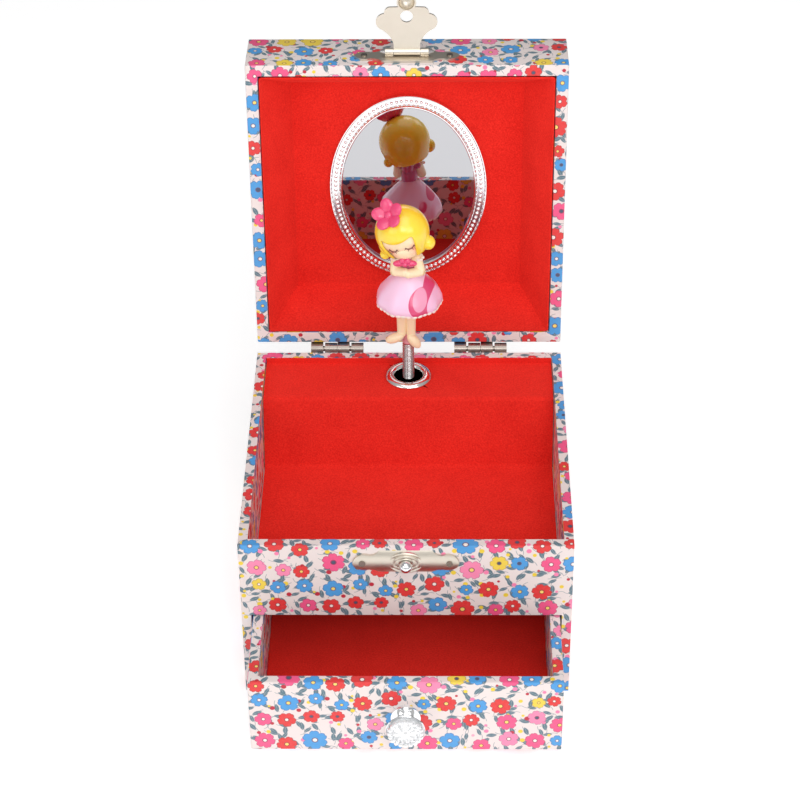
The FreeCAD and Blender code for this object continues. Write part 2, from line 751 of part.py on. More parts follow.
def doll_figure():
    """Moulded ballerina: socket, feet, legs, bell skirt, body, folded arms, head and hair."""
    foot = DECK_Z + DOLL_FEET
    y = SPINDLE_Y
    socket = [
        (0, foot - 2.2),
        (SPRING_BORE_R - 0.1, foot - 2.2),
        (SPRING_BORE_R - 0.1, foot),
        (2.4, foot),
        (2.4, foot + 1.6),
        (0, foot + 2.4),
    ]
    body = [
        (0, foot + 1.0),
        (2.2, foot + 1.0),
        (2.8, foot + 12.6),
        (2.9, foot + 15.4),
        (11.0, foot + 14.6),
        (11.3, foot + 21.5),
        (9.6, foot + 28.5),
        (6.0, foot + 35.5),
        (4.6, foot + 38.0),
        (6.6, foot + 41.0),
        (9.2, foot + 45.0),
        (9.6, foot + 49.5),
        (8.4, foot + 54.0),
        (5.2, foot + 57.4),
        (0, foot + 58.6),
    ]
    figure = turned_z(body, 0, y)
    figure = figure.fuse(Part.makeSphere(4.0, V(-4.6, y - 1.5, foot + 57.0)))
    for side in (-1, 1):
        figure = figure.fuse(Part.makeSphere(2.4, V(side * 4.6, y - 2.6, foot + 34.2)))
    figure = figure.fuse(Part.makeSphere(1.7, V(-3.4, y - 0.8, foot + 4.6)))
    figure = figure.fuse(Part.makeSphere(1.7, V(1.8, y - 1.2, foot + 2.9)))
    figure.rotate(V(0, y, foot), V(0, 1, 0), -DOLL_LEAN)
    return figure.fuse(turned_z(socket, 0, y))


# Movement

def gear_outline(teeth, module, tooth_angle):
    """Outline of an involute wheel about the origin, with one tooth centred on tooth_angle (radians)."""
    pitch_r = teeth * module / 2
    base_r = pitch_r * math.cos(PRESSURE_ANGLE)
    tip_r = pitch_r + ADDENDUM * module
    root_r = pitch_r - DEDENDUM * module
    half_tooth = math.pi / (2 * teeth) - BACKLASH / (2 * pitch_r)
    pitch_involute = math.tan(PRESSURE_ANGLE) - PRESSURE_ANGLE
    start_r = max(base_r, root_r)
    flank = []
    for step in range(FLANK_STEPS + 1):
        radius = start_r + (tip_r - start_r) * step / FLANK_STEPS
        roll = math.acos(min(1.0, base_r / radius))
        flank.append((radius, half_tooth + pitch_involute - (math.tan(roll) - roll)))
    if root_r < start_r:
        flank.insert(0, (root_r, flank[0][1]))
    outline = []
    for tooth in range(teeth):
        centre = tooth_angle + 2 * math.pi * tooth / teeth
        for radius, half in flank:
            outline.append((radius * math.cos(centre - half), radius * math.sin(centre - half)))
        for radius, half in reversed(flank):
            outline.append((radius * math.cos(centre + half), radius * math.sin(centre + half)))
    return outline


def wheel_z(teeth, module, tooth_angle, x, y, z0, z1):
    """Toothed wheel on an upright arbor."""
    outline = gear_outline(teeth, module, tooth_angle)
    return prism_z([(x + px, y + py) for px, py in outline], z0, z1)


def bedplate_corners():
    """Screw places on the bedplate as (x, z)."""
    left = BRIDGE_X - 2.5
    right = comb_root() + 11.0
    low = BASE_BOARD + 5.8
    high = CYLINDER_Z + CYLINDER_LENGTH - BEDPLATE_SCREW_DROP
    return [(left, low), (right, low), (right, high), (left, high)]


def comb_root():
    """X where the comb's teeth join its body."""
    return CYLINDER_X + CYLINDER_R + COMB_GAP + COMB_REACH


def bedplate():
    corners = bedplate_corners()
    left = corners[0][0] - 2.6
    right = corners[1][0] + 2.6
    plate = box(left, right, BEDPLATE_Y, IN_Y, corners[0][1] - 3, BRIDGE_TOP + BRIDGE + 0.4)
    bore = WINDING_R + ARBOR_CLEARANCE
    plate = plate.cut(rod_y(bore, BEDPLATE_Y - 1, IN_Y + 1, CYLINDER_X, BARREL_Z))
    for x, z in corners:
        plate = plate.cut(rod_y(1.0, BEDPLATE_Y - 1, IN_Y + 1, x, z))
    return plate


def bedplate_screws():
    """Screws from outside through the back board into the bedplate."""
    screws = []
    for x, z in bedplate_corners():
        screw = rod_y(1.0, BEDPLATE_Y, HALF_D, x, z)
        screw = screw.fuse(rod_y(2.3, HALF_D, HALF_D + 1.2, x, z))
        slot = box(x - 3, x + 3, HALF_D + 0.7, HALF_D + 2, z - 0.3, z + 0.3)
        screws.append(screw.cut(slot))
    return screws


def arbor_hole(x, y, z0, z1):
    return rod_z(ARBOR_R + ARBOR_CLEARANCE, z0, z1, x, y)


def cylinder_bridge():
    """Bracket that carries the lower and upper bearings of the cylinder, idler and fly."""
    front = CYLINDER_Y - 3.0
    arm_back = CYLINDER_Y + 1.9
    right = CYLINDER_X + 3.0
    left = BRIDGE_X
    low = box(left, right, front, arm_back, BRIDGE_LOW, BRIDGE_LOW + BRIDGE)
    top = box(left, right, front, arm_back, BRIDGE_TOP, BRIDGE_TOP + BRIDGE)
    web = box(left, left + BRIDGE, front, arm_back, BRIDGE_LOW, BRIDGE_TOP + BRIDGE)
    ear = box(left, left + BRIDGE, front, BEDPLATE_Y, WHEEL_Z + 2, BRIDGE_TOP - 2)
    foot = box(left, left + 8, BEDPLATE_Y - BRIDGE, BEDPLATE_Y, WHEEL_Z + 6, BRIDGE_TOP - 6)
    bridge = web.fuse(low).fuse(top).fuse(ear).fuse(foot)
    for x in (CYLINDER_X, IDLER_X, FLY_X):
        bridge = bridge.cut(arbor_hole(x, CYLINDER_Y, BRIDGE_LOW - 1, BRIDGE_TOP + BRIDGE + 1))
    for z in (WHEEL_Z + 9, BRIDGE_TOP - 9):
        bridge = bridge.cut(rod_y(1.0, BEDPLATE_Y - 3, BEDPLATE_Y, left + 5, z))
    return bridge.removeSplitter()


def small_screw(x, z, face_y, length):
    """Cheese-head screw whose head faces the front."""
    shank = rod_y(1.0, face_y, face_y + length, x, z)
    head = rod_y(1.9, face_y - 1.2, face_y, x, z)
    slot = box(x - 2.5, x + 2.5, face_y - 1.3, face_y - 0.7, z - 0.25, z + 0.25)
    return shank.fuse(head).cut(slot)


def frame_screws():
    """Screws of the bridge, the spindle bracket and the comb."""
    screws = []
    foot_face = BEDPLATE_Y - BRIDGE
    for z in (WHEEL_Z + 9, BRIDGE_TOP - 9):
        screws.append(small_screw(BRIDGE_X + 5, z, foot_face, BRIDGE))
    screws.append(small_screw(BRACKET_SCREW_X, BARREL_Z + 4, foot_face, BRIDGE))
    for z in comb_screw_heights():
        screws.append(small_screw(comb_root() + 5.0, z, CYLINDER_Y - COMB_PLATE / 2, 6.0))
    return screws


def comb_screw_heights():
    middle = CYLINDER_Z + CYLINDER_LENGTH / 2
    return (middle - 5.5, middle + 5.5)


def comb():
    """Steel comb: one tuned tooth for each track on the cylinder."""
    y0 = CYLINDER_Y - COMB_PLATE / 2
    root = comb_root()
    body = box(root, root + 11, y0, y0 + COMB_PLATE, CYLINDER_Z, CYLINDER_Z + CYLINDER_LENGTH)
    pitch = CYLINDER_LENGTH / COMB_TEETH
    tip = CYLINDER_X + CYLINDER_R + COMB_GAP
    for tooth in range(COMB_TEETH):
        z = CYLINDER_Z + pitch * (tooth + 0.5)
        body = body.fuse(box(tip, root, y0 + 0.2, y0 + 1.0, z - 0.35 * pitch, z + 0.35 * pitch))
    for z in comb_screw_heights():
        body = body.cut(rod_y(1.0, y0 - 1, y0 + 2, root + 5.0, z))
    return body


def comb_block():
    """Block that holds the comb off the bedplate."""
    root = comb_root()
    y0 = CYLINDER_Y + COMB_PLATE / 2
    block = box(root + 1, root + 10, y0, BEDPLATE_Y, CYLINDER_Z, CYLINDER_Z + CYLINDER_LENGTH)
    for z in comb_screw_heights():
        block = block.cut(rod_y(1.0, y0 - 1, y0 + 6.0 - COMB_PLATE, root + 5.0, z))
    return block


def spindle_bracket():
    """Bracket with the spindle's lower and upper bearings."""
    front = SPINDLE_Y - 3.0
    low_z = BRIDGE_LOW + 1.3
    foot_y = BEDPLATE_Y - BRIDGE
    low_arm = box(-3.2, 3.2, front, BEDPLATE_Y, low_z, low_z + BRIDGE)
    foot = box(1.6, 8.4, foot_y, BEDPLATE_Y, BARREL_Z + 1, low_z + BRIDGE)
    web = box(6.6, 8.4, foot_y - 1.0, BEDPLATE_Y, BARREL_Z + 1, BRIDGE_TOP + BRIDGE)
    shelf = box(3.2, 8.4, foot_y, BEDPLATE_Y, low_z, low_z + BRIDGE)
    top_arm = box(-3.2, 8.4, front, BEDPLATE_Y, BRIDGE_TOP, BRIDGE_TOP + BRIDGE)
    bracket = low_arm.fuse(foot).fuse(web).fuse(shelf).fuse(top_arm)
    bore = SPINDLE_R + ARBOR_CLEARANCE
    bracket = bracket.cut(rod_z(bore, low_z - 1, BRIDGE_TOP + BRIDGE + 1, 0, SPINDLE_Y))
    hole = rod_y(1.0, foot_y - 1, BEDPLATE_Y, BRACKET_SCREW_X, BARREL_Z + 4)
    return bracket.cut(hole).removeSplitter()


def spindle_shaft():
    low = BRIDGE_LOW + 0.6
    top = DECK_Z - 0.8
    return rod_z(SPINDLE_R, low, top, 0, SPINDLE_Y)


def spindle_wheel():
    toward = math.atan2(CYLINDER_Y - SPINDLE_Y, CYLINDER_X)
    gap_first = toward + math.pi / SPINDLE_WHEEL_TEETH
    wheel = wheel_z(SPINDLE_WHEEL_TEETH, TRAIN_MODULE, gap_first, 0, SPINDLE_Y, WHEEL_Z, WHEEL_Z + WHEEL)
    return wheel.cut(rod_z(SPINDLE_R, WHEEL_Z - 1, WHEEL_Z + WHEEL + 1, 0, SPINDLE_Y))


def cylinder_arbor():
    """Arbor with the driving pinion cut on it."""
    ring_z = BARREL_Z + RING_R
    arbor = rod_z(ARBOR_R, BRIDGE_LOW, BRIDGE_TOP + BRIDGE, CYLINDER_X, CYLINDER_Y)
    pinion = wheel_z(CYLINDER_PINION_TEETH, TRAIN_MODULE, math.pi / 2,
                     CYLINDER_X, CYLINDER_Y, ring_z - PINION_FACE / 2, ring_z + PINION_FACE / 2)
    return arbor.fuse(pinion)


def cylinder_wheel():
    """Wheel that drives the spindle on one side and the idler on the other."""
    toward_spindle = math.atan2(SPINDLE_Y - CYLINDER_Y, -CYLINDER_X)
    wheel = wheel_z(CYLINDER_WHEEL_TEETH, TRAIN_MODULE, toward_spindle,
                    CYLINDER_X, CYLINDER_Y, WHEEL_Z, WHEEL_Z + WHEEL)
    return wheel.cut(rod_z(ARBOR_R, WHEEL_Z - 1, WHEEL_Z + WHEEL + 1, CYLINDER_X, CYLINDER_Y))


def cylinder_drum():
    """Hollow drum with its end discs and music pins."""
    x, y = CYLINDER_X, CYLINDER_Y
    top = CYLINDER_Z + CYLINDER_LENGTH
    drum = rod_z(CYLINDER_R, CYLINDER_Z, top, x, y)
    drum = drum.cut(rod_z(CYLINDER_R - CYLINDER_WALL, CYLINDER_Z + 1, top - 1, x, y))
    drum = drum.cut(rod_z(ARBOR_R, CYLINDER_Z - 1, top + 1, x, y))
    pitch = CYLINDER_LENGTH / COMB_TEETH
    pins = []
    for track in range(COMB_TEETH):
        for beat in (0, 1):
            angle = math.radians((track * 137 + beat * 171) % 360)
            z = CYLINDER_Z + pitch * (track + 0.5)
            direction = V(math.cos(angle), math.sin(angle), 0)
            start = V(x, y, z) + direction * (CYLINDER_R - 0.3)
            pins.append(Part.makeCylinder(0.2, 0.3 + CYLINDER_PIN, start, direction))
    return drum.fuse(pins)


def idler_arbor():
    arbor = rod_z(ARBOR_R, BRIDGE_LOW, BRIDGE_TOP + BRIDGE, IDLER_X, CYLINDER_Y)
    toward_spindle = math.atan2(SPINDLE_Y - CYLINDER_Y, -CYLINDER_X)
    pitch = 2 * math.pi / CYLINDER_WHEEL_TEETH
    phase = ((math.pi - toward_spindle) / pitch) % 1.0
    gap_angle = math.pi / IDLER_PINION_TEETH + phase * 2 * math.pi / IDLER_PINION_TEETH
    pinion = wheel_z(IDLER_PINION_TEETH, TRAIN_MODULE, gap_angle,
                     IDLER_X, CYLINDER_Y, WHEEL_Z - 0.2, WHEEL_Z + WHEEL + 0.2)
    return arbor.fuse(pinion)


def idler_wheel():
    z0 = WHEEL_Z + WHEEL + 1.0
    wheel = wheel_z(IDLER_WHEEL_TEETH, FLY_MODULE, math.pi, IDLER_X, CYLINDER_Y, z0, z0 + 1.0)
    return wheel.cut(rod_z(ARBOR_R, z0 - 1, z0 + 2, IDLER_X, CYLINDER_Y))


def fly_arbor():
    z0 = WHEEL_Z + WHEEL + 0.8
    arbor = rod_z(ARBOR_R, BRIDGE_LOW, BRIDGE_TOP + BRIDGE, FLY_X, CYLINDER_Y)
    pinion = wheel_z(FLY_PINION_TEETH, FLY_MODULE, math.pi / FLY_PINION_TEETH, FLY_X, CYLINDER_Y, z0, z0 + 1.4)
    return arbor.fuse(pinion)


def fly_vanes():
    """Air brake: hub and two vanes that hold the speed down."""
    z0 = CYLINDER_Z + 2.0
    z1 = BRIDGE_TOP - 2.0
    hub = rod_z(ARBOR_R + 0.7, z0, z1, FLY_X, CYLINDER_Y)
    vanes = box(FLY_X - FLY_R, FLY_X + FLY_R, CYLINDER_Y - 0.3, CYLINDER_Y + 0.3, z0, z1)
    return hub.fuse(vanes).cut(rod_z(ARBOR_R, z0 - 1, z1 + 1, FLY_X, CYLINDER_Y))


def barrel_drum():
    """Spring drum whose front face carries a ring of standing teeth."""
    x, z = CYLINDER_X, BARREL_Z
    drum = rod_y(DRUM_R, DRUM_FRONT, DRUM_BACK - BARREL_WALL, x, z)
    drum = drum.cut(rod_y(DRUM_R - BARREL_WALL, DRUM_FRONT + BARREL_WALL, DRUM_BACK, x, z))
    drum = drum.cut(rod_y(WINDING_R + 0.1, DRUM_FRONT - 1, DRUM_BACK, x, z))
    tip = RING_Y - ADDENDUM * TRAIN_MODULE
    width = 0.5 * math.pi * TRAIN_MODULE - BACKLASH
    teeth = []
    for tooth in range(RING_TEETH):
        block = box(x + RING_R - 1.1, x + RING_R + 1.1, tip, DRUM_FRONT + 0.2, z - width / 2, z + width / 2)
        angle = 360.0 * (tooth + 0.5) / RING_TEETH
        teeth.append(turned(block, V(x, 0, z), V(0, 1, 0), angle))
    return drum.fuse(teeth)


def barrel_cap():
    cap = rod_y(DRUM_R, DRUM_BACK - BARREL_WALL, DRUM_BACK, CYLINDER_X, BARREL_Z)
    return cap.cut(rod_y(WINDING_R + 0.1, DRUM_BACK - 2, DRUM_BACK + 1, CYLINDER_X, BARREL_Z))


def mainspring():
    """Spiral strip inside the drum."""
    turns = 6
    steps = 20 * turns
    inner_r = WINDING_R + 1.4
    outer_r = DRUM_R - BARREL_WALL - 0.5
    inside = []
    outside = []
    for step in range(steps + 1):
        share = step / steps
        angle = 2 * math.pi * turns * share
        radius = inner_r + (outer_r - inner_r) * share
        cosine, sine = math.cos(angle), math.sin(angle)
        inside.append((CYLINDER_X + (radius - 0.2) * cosine, BARREL_Z + (radius - 0.2) * sine))
        outside.append((CYLINDER_X + (radius + 0.2) * cosine, BARREL_Z + (radius + 0.2) * sine))
    profile = inside + outside[::-1]
    return prism_y(profile, DRUM_FRONT + BARREL_WALL + 0.4, DRUM_BACK - BARREL_WALL - 0.4)


def winding_arbor():
    return rod_y(WINDING_R, DRUM_FRONT, HALF_D + 8.0, CYLINDER_X, BARREL_Z)


def winding_key():
    """Butterfly key on the outer end of the winding arbor."""
    x, z = CYLINDER_X, BARREL_Z
    start = HALF_D + 3.0
    hub = rod_y(KEY_HUB_R, start, start + 7.0, x, z)
    wing_y = start + 5.0
    hub = hub.fuse(box(x - 3.5, x + 3.5, wing_y, wing_y + 5.0, z - 0.9, z + 0.9))
    lobe_r = KEY_SPAN / 4 + 0.9
    for side in (-1, 1):
        centre = V(x + side * (KEY_SPAN / 2 - lobe_r), wing_y + 5.2, z - 0.9)
        lobe = Part.makeCylinder(lobe_r, 1.8, centre, V(0, 0, 1))
        hole = Part.makeCylinder(lobe_r - 2.3, 3.8, centre - V(0, 0, 1), V(0, 0, 1))
        hub = hub.fuse(lobe).cut(hole)
    return hub.cut(rod_y(WINDING_R, start - 1, HALF_D + 8.0, x, z)).removeSplitter()


def clutch_spring():
    """Wrap spring that lets the arbor turn one way only, against the bedplate."""
    inner = WINDING_R + 0.15
    coil = rod_y(inner + 0.6, BEDPLATE_Y - 0.8, BEDPLATE_Y, CYLINDER_X, BARREL_Z)
    return coil.cut(rod_y(inner, BEDPLATE_Y - 2, BEDPLATE_Y + 1, CYLINDER_X, BARREL_Z))


# Nodes

def build_nodes():
    return {
        "bottom_board": bottom_board(),
        "left_side_board": side_board(-1),
        "right_side_board": side_board(1),
        "back_board": back_board(),
        "front_board": front_board(),
        "shelf_board": shelf_board(),
        "partition_board": partition_board(),
        "platform_board": platform_board(),
        "compartment_lining": compartment_lining(),
        "eyelet": eyelet(),
        "hinge_base_leaves": hinge_base_leaves(),
        "hinge_pins": hinge_pins(),
        "base_nails": hinge_nails_base().Solids + catch_nails().Solids,
        "catch_plate": catch_plate(),
        "catch_stud": catch_stud(),
        "lid_top_board": opened(lid_top_board()),
        "lid_front_board": opened(lid_front_board()),
        "lid_back_board": opened(lid_back_board()),
        "lid_side_boards": [opened(board) for board in lid_side_boards()],
        "lid_lining": opened(lid_lining()),
        "mirror_frame": opened(mirror_frame()),
        "mirror_glass": opened(mirror_glass()),
        "hinge_lid_leaves": hinge_lid_leaves(),
        "lid_nails": [opened(solid) for solid in hinge_nail_group(1).Solids + hasp_nails().Solids],
        "hasp_plate": opened(hasp_plate()),
        "hasp_pin": opened(hasp_pin()),
        "hasp": hasp_at_rest(),
        "drawer_front": drawer_front(),
        "drawer_sides": drawer_sides(),
        "drawer_back": drawer_back(),
        "drawer_bottom": drawer_bottom(),
        "drawer_lining": drawer_lining(),
        "knob_base": knob_base(),
        "knob_crystal": knob_crystal(),
        "knob_screw": knob_screw(),
        "doll_spring": doll_spring(),
        "doll_figure": doll_figure(),
        "bedplate": bedplate(),
        "bedplate_screws": bedplate_screws(),
        "cylinder_bridge": cylinder_bridge(),
        "frame_screws": frame_screws(),
        "comb": comb(),
        "comb_block": comb_block(),
        "spindle_bracket": spindle_bracket(),
        "spindle_shaft": spindle_shaft(),
        "spindle_wheel": spindle_wheel(),
        "cylinder_arbor": cylinder_arbor(),
        "cylinder_wheel": cylinder_wheel(),
        "cylinder_drum": cylinder_drum(),
        "idler_arbor": idler_arbor(),
        "idler_wheel": idler_wheel(),
        "fly_arbor": fly_arbor(),
        "fly_vanes": fly_vanes(),
        "barrel_drum": barrel_drum(),
        "barrel_cap": barrel_cap(),
        "mainspring": mainspring(),
        "winding_arbor": winding_arbor(),
        "winding_key": winding_key(),
        "clutch_spring": clutch_spring(),
    }


def write_nodes():
    os.makedirs("parts", exist_ok=True)
    nodes = build_nodes()
    for name, shape in nodes.items():
        solids = shape if isinstance(shape, list) else shape.Solids
        for solid in solids:
            if not solid.isValid() or solid.Volume <= 0:
                raise ValueError(name + " holds a bad solid")
        result = solids[0] if len(solids) == 1 else Part.makeCompound(solids)
        result.exportStep("parts/" + name + ".step")
        volume = sum(solid.Volume for solid in solids)
        print(name, len(solids), "solid(s)", round(volume, 1), "mm3")
    print(len(nodes), "nodes")


write_nodes()
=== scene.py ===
# %% [markdown]
# A musical jewellery box is card boards wrapped in printed paper, lined with red
# flock, with a mirror in the lid and a moulded dancer on a spring. This lesson
# builds each of those surfaces around a mechanical model that already has the
# hinges, the drawer slide and the wind-up movement. Shapes are drawn in
# millimetres and shrunk to metres as each piece is finished.

import json
import math

import bmesh
import bpy
from mathutils import Matrix, Vector


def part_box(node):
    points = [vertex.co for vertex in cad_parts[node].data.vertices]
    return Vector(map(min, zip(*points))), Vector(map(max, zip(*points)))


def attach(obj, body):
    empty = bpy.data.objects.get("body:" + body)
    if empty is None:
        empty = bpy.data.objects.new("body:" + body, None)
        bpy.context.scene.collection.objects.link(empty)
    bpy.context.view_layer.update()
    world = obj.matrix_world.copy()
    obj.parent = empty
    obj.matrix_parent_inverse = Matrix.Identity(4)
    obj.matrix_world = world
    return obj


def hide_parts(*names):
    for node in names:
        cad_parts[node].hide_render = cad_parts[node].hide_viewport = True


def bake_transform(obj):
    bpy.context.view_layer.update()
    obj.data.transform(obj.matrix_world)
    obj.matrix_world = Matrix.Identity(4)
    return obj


MM = 0.001
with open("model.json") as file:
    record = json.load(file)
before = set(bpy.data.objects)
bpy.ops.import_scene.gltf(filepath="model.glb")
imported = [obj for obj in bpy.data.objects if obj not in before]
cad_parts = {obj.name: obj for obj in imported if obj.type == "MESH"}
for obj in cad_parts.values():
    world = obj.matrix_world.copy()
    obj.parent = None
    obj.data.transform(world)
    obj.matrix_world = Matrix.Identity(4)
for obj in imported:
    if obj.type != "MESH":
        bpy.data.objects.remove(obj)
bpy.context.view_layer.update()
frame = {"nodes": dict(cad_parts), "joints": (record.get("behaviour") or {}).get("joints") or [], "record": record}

# %% Measure the boards that the paper and flock will cover


def span(node):
    """Lowest and highest corner of a mechanical piece, in millimetres."""
    low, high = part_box(node)
    return low / MM, high / MM


side_low, side_high = span("right_side_board")
front_low = span("front_board")[0]
bottom_high = span("bottom_board")[1]
drawer_low, drawer_high = span("drawer_front")
drawer_back_high = span("drawer_back")[1]
drawer_wall = drawer_high.x - span("drawer_back")[1].x
drawer_floor = span("drawer_lining")[1].z

HALF = side_high.x
RIM = side_high.z
WALL = side_high.x - side_low.x
BAY_LOW = bottom_high.z
BAY_TOP = front_low.z
HINGE = next(Vector(j["pos_m"]) / MM for j in frame["joints"] if j["name"] == "lid_hinge")
OPEN = math.radians(next(j["range_deg"][1] for j in frame["joints"] if j["name"] == "lid_hinge"))
print("base", 2 * HALF, "mm wide, rim at", RIM, "mm, boards", round(WALL, 2), "mm")

# %% [markdown]
# The camera looks down at the open box from the front, with a long lens so that
# the sides stay nearly parallel. Its turn is built from three small angles:
# pitch, yaw and a slight roll.

# %% Camera
camera_data = bpy.data.cameras.new("camera")
camera_data.lens = 107.81
camera_data.sensor_width = 36
camera = bpy.data.objects.new("camera", camera_data)
bpy.context.scene.collection.objects.link(camera)
pitch, yaw, roll = math.radians(35.963), math.radians(-1.086), math.radians(-0.649)
ahead = Vector((math.sin(yaw) * math.cos(pitch), math.cos(yaw) * math.cos(pitch), -math.sin(pitch)))
right = Vector((math.cos(yaw), -math.sin(yaw), 0))
up = right.cross(ahead)
across = math.cos(roll) * right + math.sin(roll) * up
upright = -math.sin(roll) * right + math.cos(roll) * up
turn = Matrix((across, upright, -ahead)).transposed()
camera.matrix_world = Matrix.Translation(Vector((10.139, -658.896, 560.794)) * MM) @ turn.to_4x4()
camera_data.clip_start = 0.01
bpy.context.scene.camera = camera
print("camera", round(camera.location.length, 3), "m from the base")

# %% [markdown]
# A product studio is a pale sweep with large soft lamps. One lamp hangs over the
# box, one stands at each side, one in front shines into the drawer, and a pale
# surrounding light fills the shadows. The surround is brighter in front than
# behind, so that metal and mirror have light and dark to reflect.

# %% Stage and lights
scene = bpy.context.scene
scene.view_settings.view_transform = "Standard"
world = bpy.data.worlds.new("studio")
world.use_nodes = True
sky = world.node_tree
heading = sky.nodes.new("ShaderNodeTexCoord")
facing = sky.nodes.new("ShaderNodeVectorMath")
facing.operation = "DOT_PRODUCT"
facing.inputs[1].default_value = (0, -0.8, 0.6)
sky.links.new(heading.outputs["Generated"], facing.inputs[0])
fade = sky.nodes.new("ShaderNodeMapRange")
fade.inputs["From Min"].default_value = -0.3
fade.inputs["From Max"].default_value = 0.7
fade.inputs["To Min"].default_value = 0.28
fade.inputs["To Max"].default_value = 0.72
sky.links.new(facing.outputs["Value"], fade.inputs["Value"])
sky.links.new(fade.outputs[0], sky.nodes["Background"].inputs["Color"])
sky.nodes["Background"].inputs["Strength"].default_value = 0.72
scene.world = world


def lamp(name, place, aim, size, watts):
    """Square area lamp at place that faces aim, all in metres."""
    data = bpy.data.lights.new(name, "AREA")
    data.shape = "SQUARE"
    data.size = size
    data.energy = watts
    made = bpy.data.objects.new(name, data)
    made.location = place
    made.rotation_mode = "QUATERNION"
    made.rotation_quaternion = (Vector(aim) - Vector(place)).to_track_quat("-Z", "Y")
    scene.collection.objects.link(made)


lamp("lamp_over", (0.05, -0.3, 1.0), (0, 0, 0.08), 0.8, 3.1)
lamp("lamp_left", (-0.7, -0.75, 0.55), (0, 0, 0.08), 0.6, 1.5)
lamp("lamp_right", (0.6, -0.85, 0.7), (0, 0, 0.08), 0.5, 2.1)
lamp("lamp_front", (0.1, -0.95, 0.8), (0, -0.06, 0.02), 0.4, 2.4)

floor_bm = bmesh.new()
bmesh.ops.create_grid(floor_bm, x_segments=1, y_segments=1, size=3.0)
floor_mesh = bpy.data.meshes.new("floor")
floor_bm.to_mesh(floor_mesh)
floor_bm.free()
floor = bpy.data.objects.new("floor", floor_mesh)
scene.collection.objects.link(floor)
print("floor and four lamps")

# %% [markdown]
# Materials are made from small node helpers. A helper that takes either a number
# or the output of another node keeps each formula on one readable line.

# %% Node helpers


def paint(red, green, blue):
    """Screen colour, 0 to 255, as the linear colour that shaders use."""
    linear = []
    for value in (red, green, blue):
        c = value / 255
        linear.append(c / 12.92 if c <= 0.04045 else ((c + 0.055) / 1.055) ** 2.4)
    return (*linear, 1)


def feed(tree, socket, value):
    """A socket gets a link from another socket, or a plain value."""
    if isinstance(value, bpy.types.NodeSocket):
        tree.links.new(value, socket)
    else:
        socket.default_value = value


def calc(tree, how, *values, clamp=False):
    node = tree.nodes.new("ShaderNodeMath")
    node.operation = how
    node.use_clamp = clamp
    for socket, value in zip(node.inputs, values):
        feed(tree, socket, value)
    return node.outputs[0]


def arrow(tree, how, *values):
    """Vector maths; a length or a dot product comes out as a number."""
    node = tree.nodes.new("ShaderNodeVectorMath")
    node.operation = how
    for socket, value in zip(node.inputs, values):
        feed(tree, socket, value)
    return node.outputs["Value" if how in ("LENGTH", "DOT_PRODUCT", "DISTANCE") else "Vector"]


def mix(tree, amount, first, second, how="MIX"):
    node = tree.nodes.new("ShaderNodeMix")
    node.data_type = "RGBA"
    node.blend_type = how
    feed(tree, node.inputs[0], amount)
    feed(tree, node.inputs[6], first)
    feed(tree, node.inputs[7], second)
    return node.outputs[2]


def inside(tree, value, edge, soft):
    """1 where value is below edge, 0 above it, with a soft step between."""
    depth = calc(tree, "DIVIDE", calc(tree, "SUBTRACT", edge, value), soft)
    return calc(tree, "ADD", depth, 0.5, clamp=True)


def pick(tree, value, stops):
    """Colour chosen by value from (from, colour) stops, with no blending."""
    node = tree.nodes.new("ShaderNodeValToRGB")
    node.color_ramp.interpolation = "CONSTANT"
    ramp = node.color_ramp.elements
    ramp[0].position = 0
    ramp[0].color = stops[0][1]
    ramp[1].position = stops[1][0]
    ramp[1].color = stops[1][1]
    for place, colour in stops[2:]:
        ramp.new(place).color = colour
    feed(tree, node.inputs[0], value)
    return node.outputs[0]


def noise(tree, vector, scale, detail=2.0):
    node = tree.nodes.new("ShaderNodeTexNoise")
    node.inputs["Scale"].default_value = scale
    node.inputs["Detail"].default_value = detail
    feed(tree, node.inputs["Vector"], vector)
    return node.outputs["Fac"]


def group(name, takes, gives):
    """Empty shader group with its sockets, and its two end nodes."""
    tree = bpy.data.node_groups.new(name, "ShaderNodeTree")
    for label, kind, value in takes:
        tree.interface.new_socket(label, in_out="INPUT", socket_type=kind).default_value = value
    for label, kind in gives:
        tree.interface.new_socket(label, in_out="OUTPUT", socket_type=kind)
    return tree, tree.nodes.new("NodeGroupInput"), tree.nodes.new("NodeGroupOutput")


print("node helpers ready")

# %% [markdown]
# The wrapping paper has a scatter of small flowers, each a different colour, size
# and turn. Voronoi cells do the scattering: every cell has one centre, a random
# colour and the distance to its neighbour, so a flower can be drawn round each
# centre without touching the next. A petal edge is a circle whose radius swells
# five or six times round.

# %% Flowers on the paper
PAPER = paint(230, 217, 214)
RED = paint(222, 30, 30)
BLUE = paint(60, 150, 215)
PINK = paint(236, 74, 130)
ROSE = paint(242, 130, 170)
YELLOW = paint(236, 204, 60)
LEAF = paint(92, 120, 132)
BERRY = paint(190, 40, 60)


def cells(tree, place, spacing, randomness, feature="F1"):
    """Flat Voronoi cells, spacing in mm."""
    node = tree.nodes.new("ShaderNodeTexVoronoi")
    node.voronoi_dimensions = "2D"
    node.feature = feature
    node.inputs["Scale"].default_value = 1 / spacing
    node.inputs["Randomness"].default_value = randomness
    feed(tree, node.inputs["Vector"], place)
    return node.outputs


def scatter(tree, place, spacing, randomness):
    """Offset from the centre of each cell in mm, and the cell's three random numbers."""
    cell = cells(tree, place, spacing, randomness)
    flat = arrow(tree, "MULTIPLY", place, (1, 1, 0))
    offset = arrow(tree, "SUBTRACT", flat, cell["Position"])
    chance = tree.nodes.new("ShaderNodeSeparateColor")
    feed(tree, chance.inputs[0], cell["Color"])
    return offset, chance.outputs


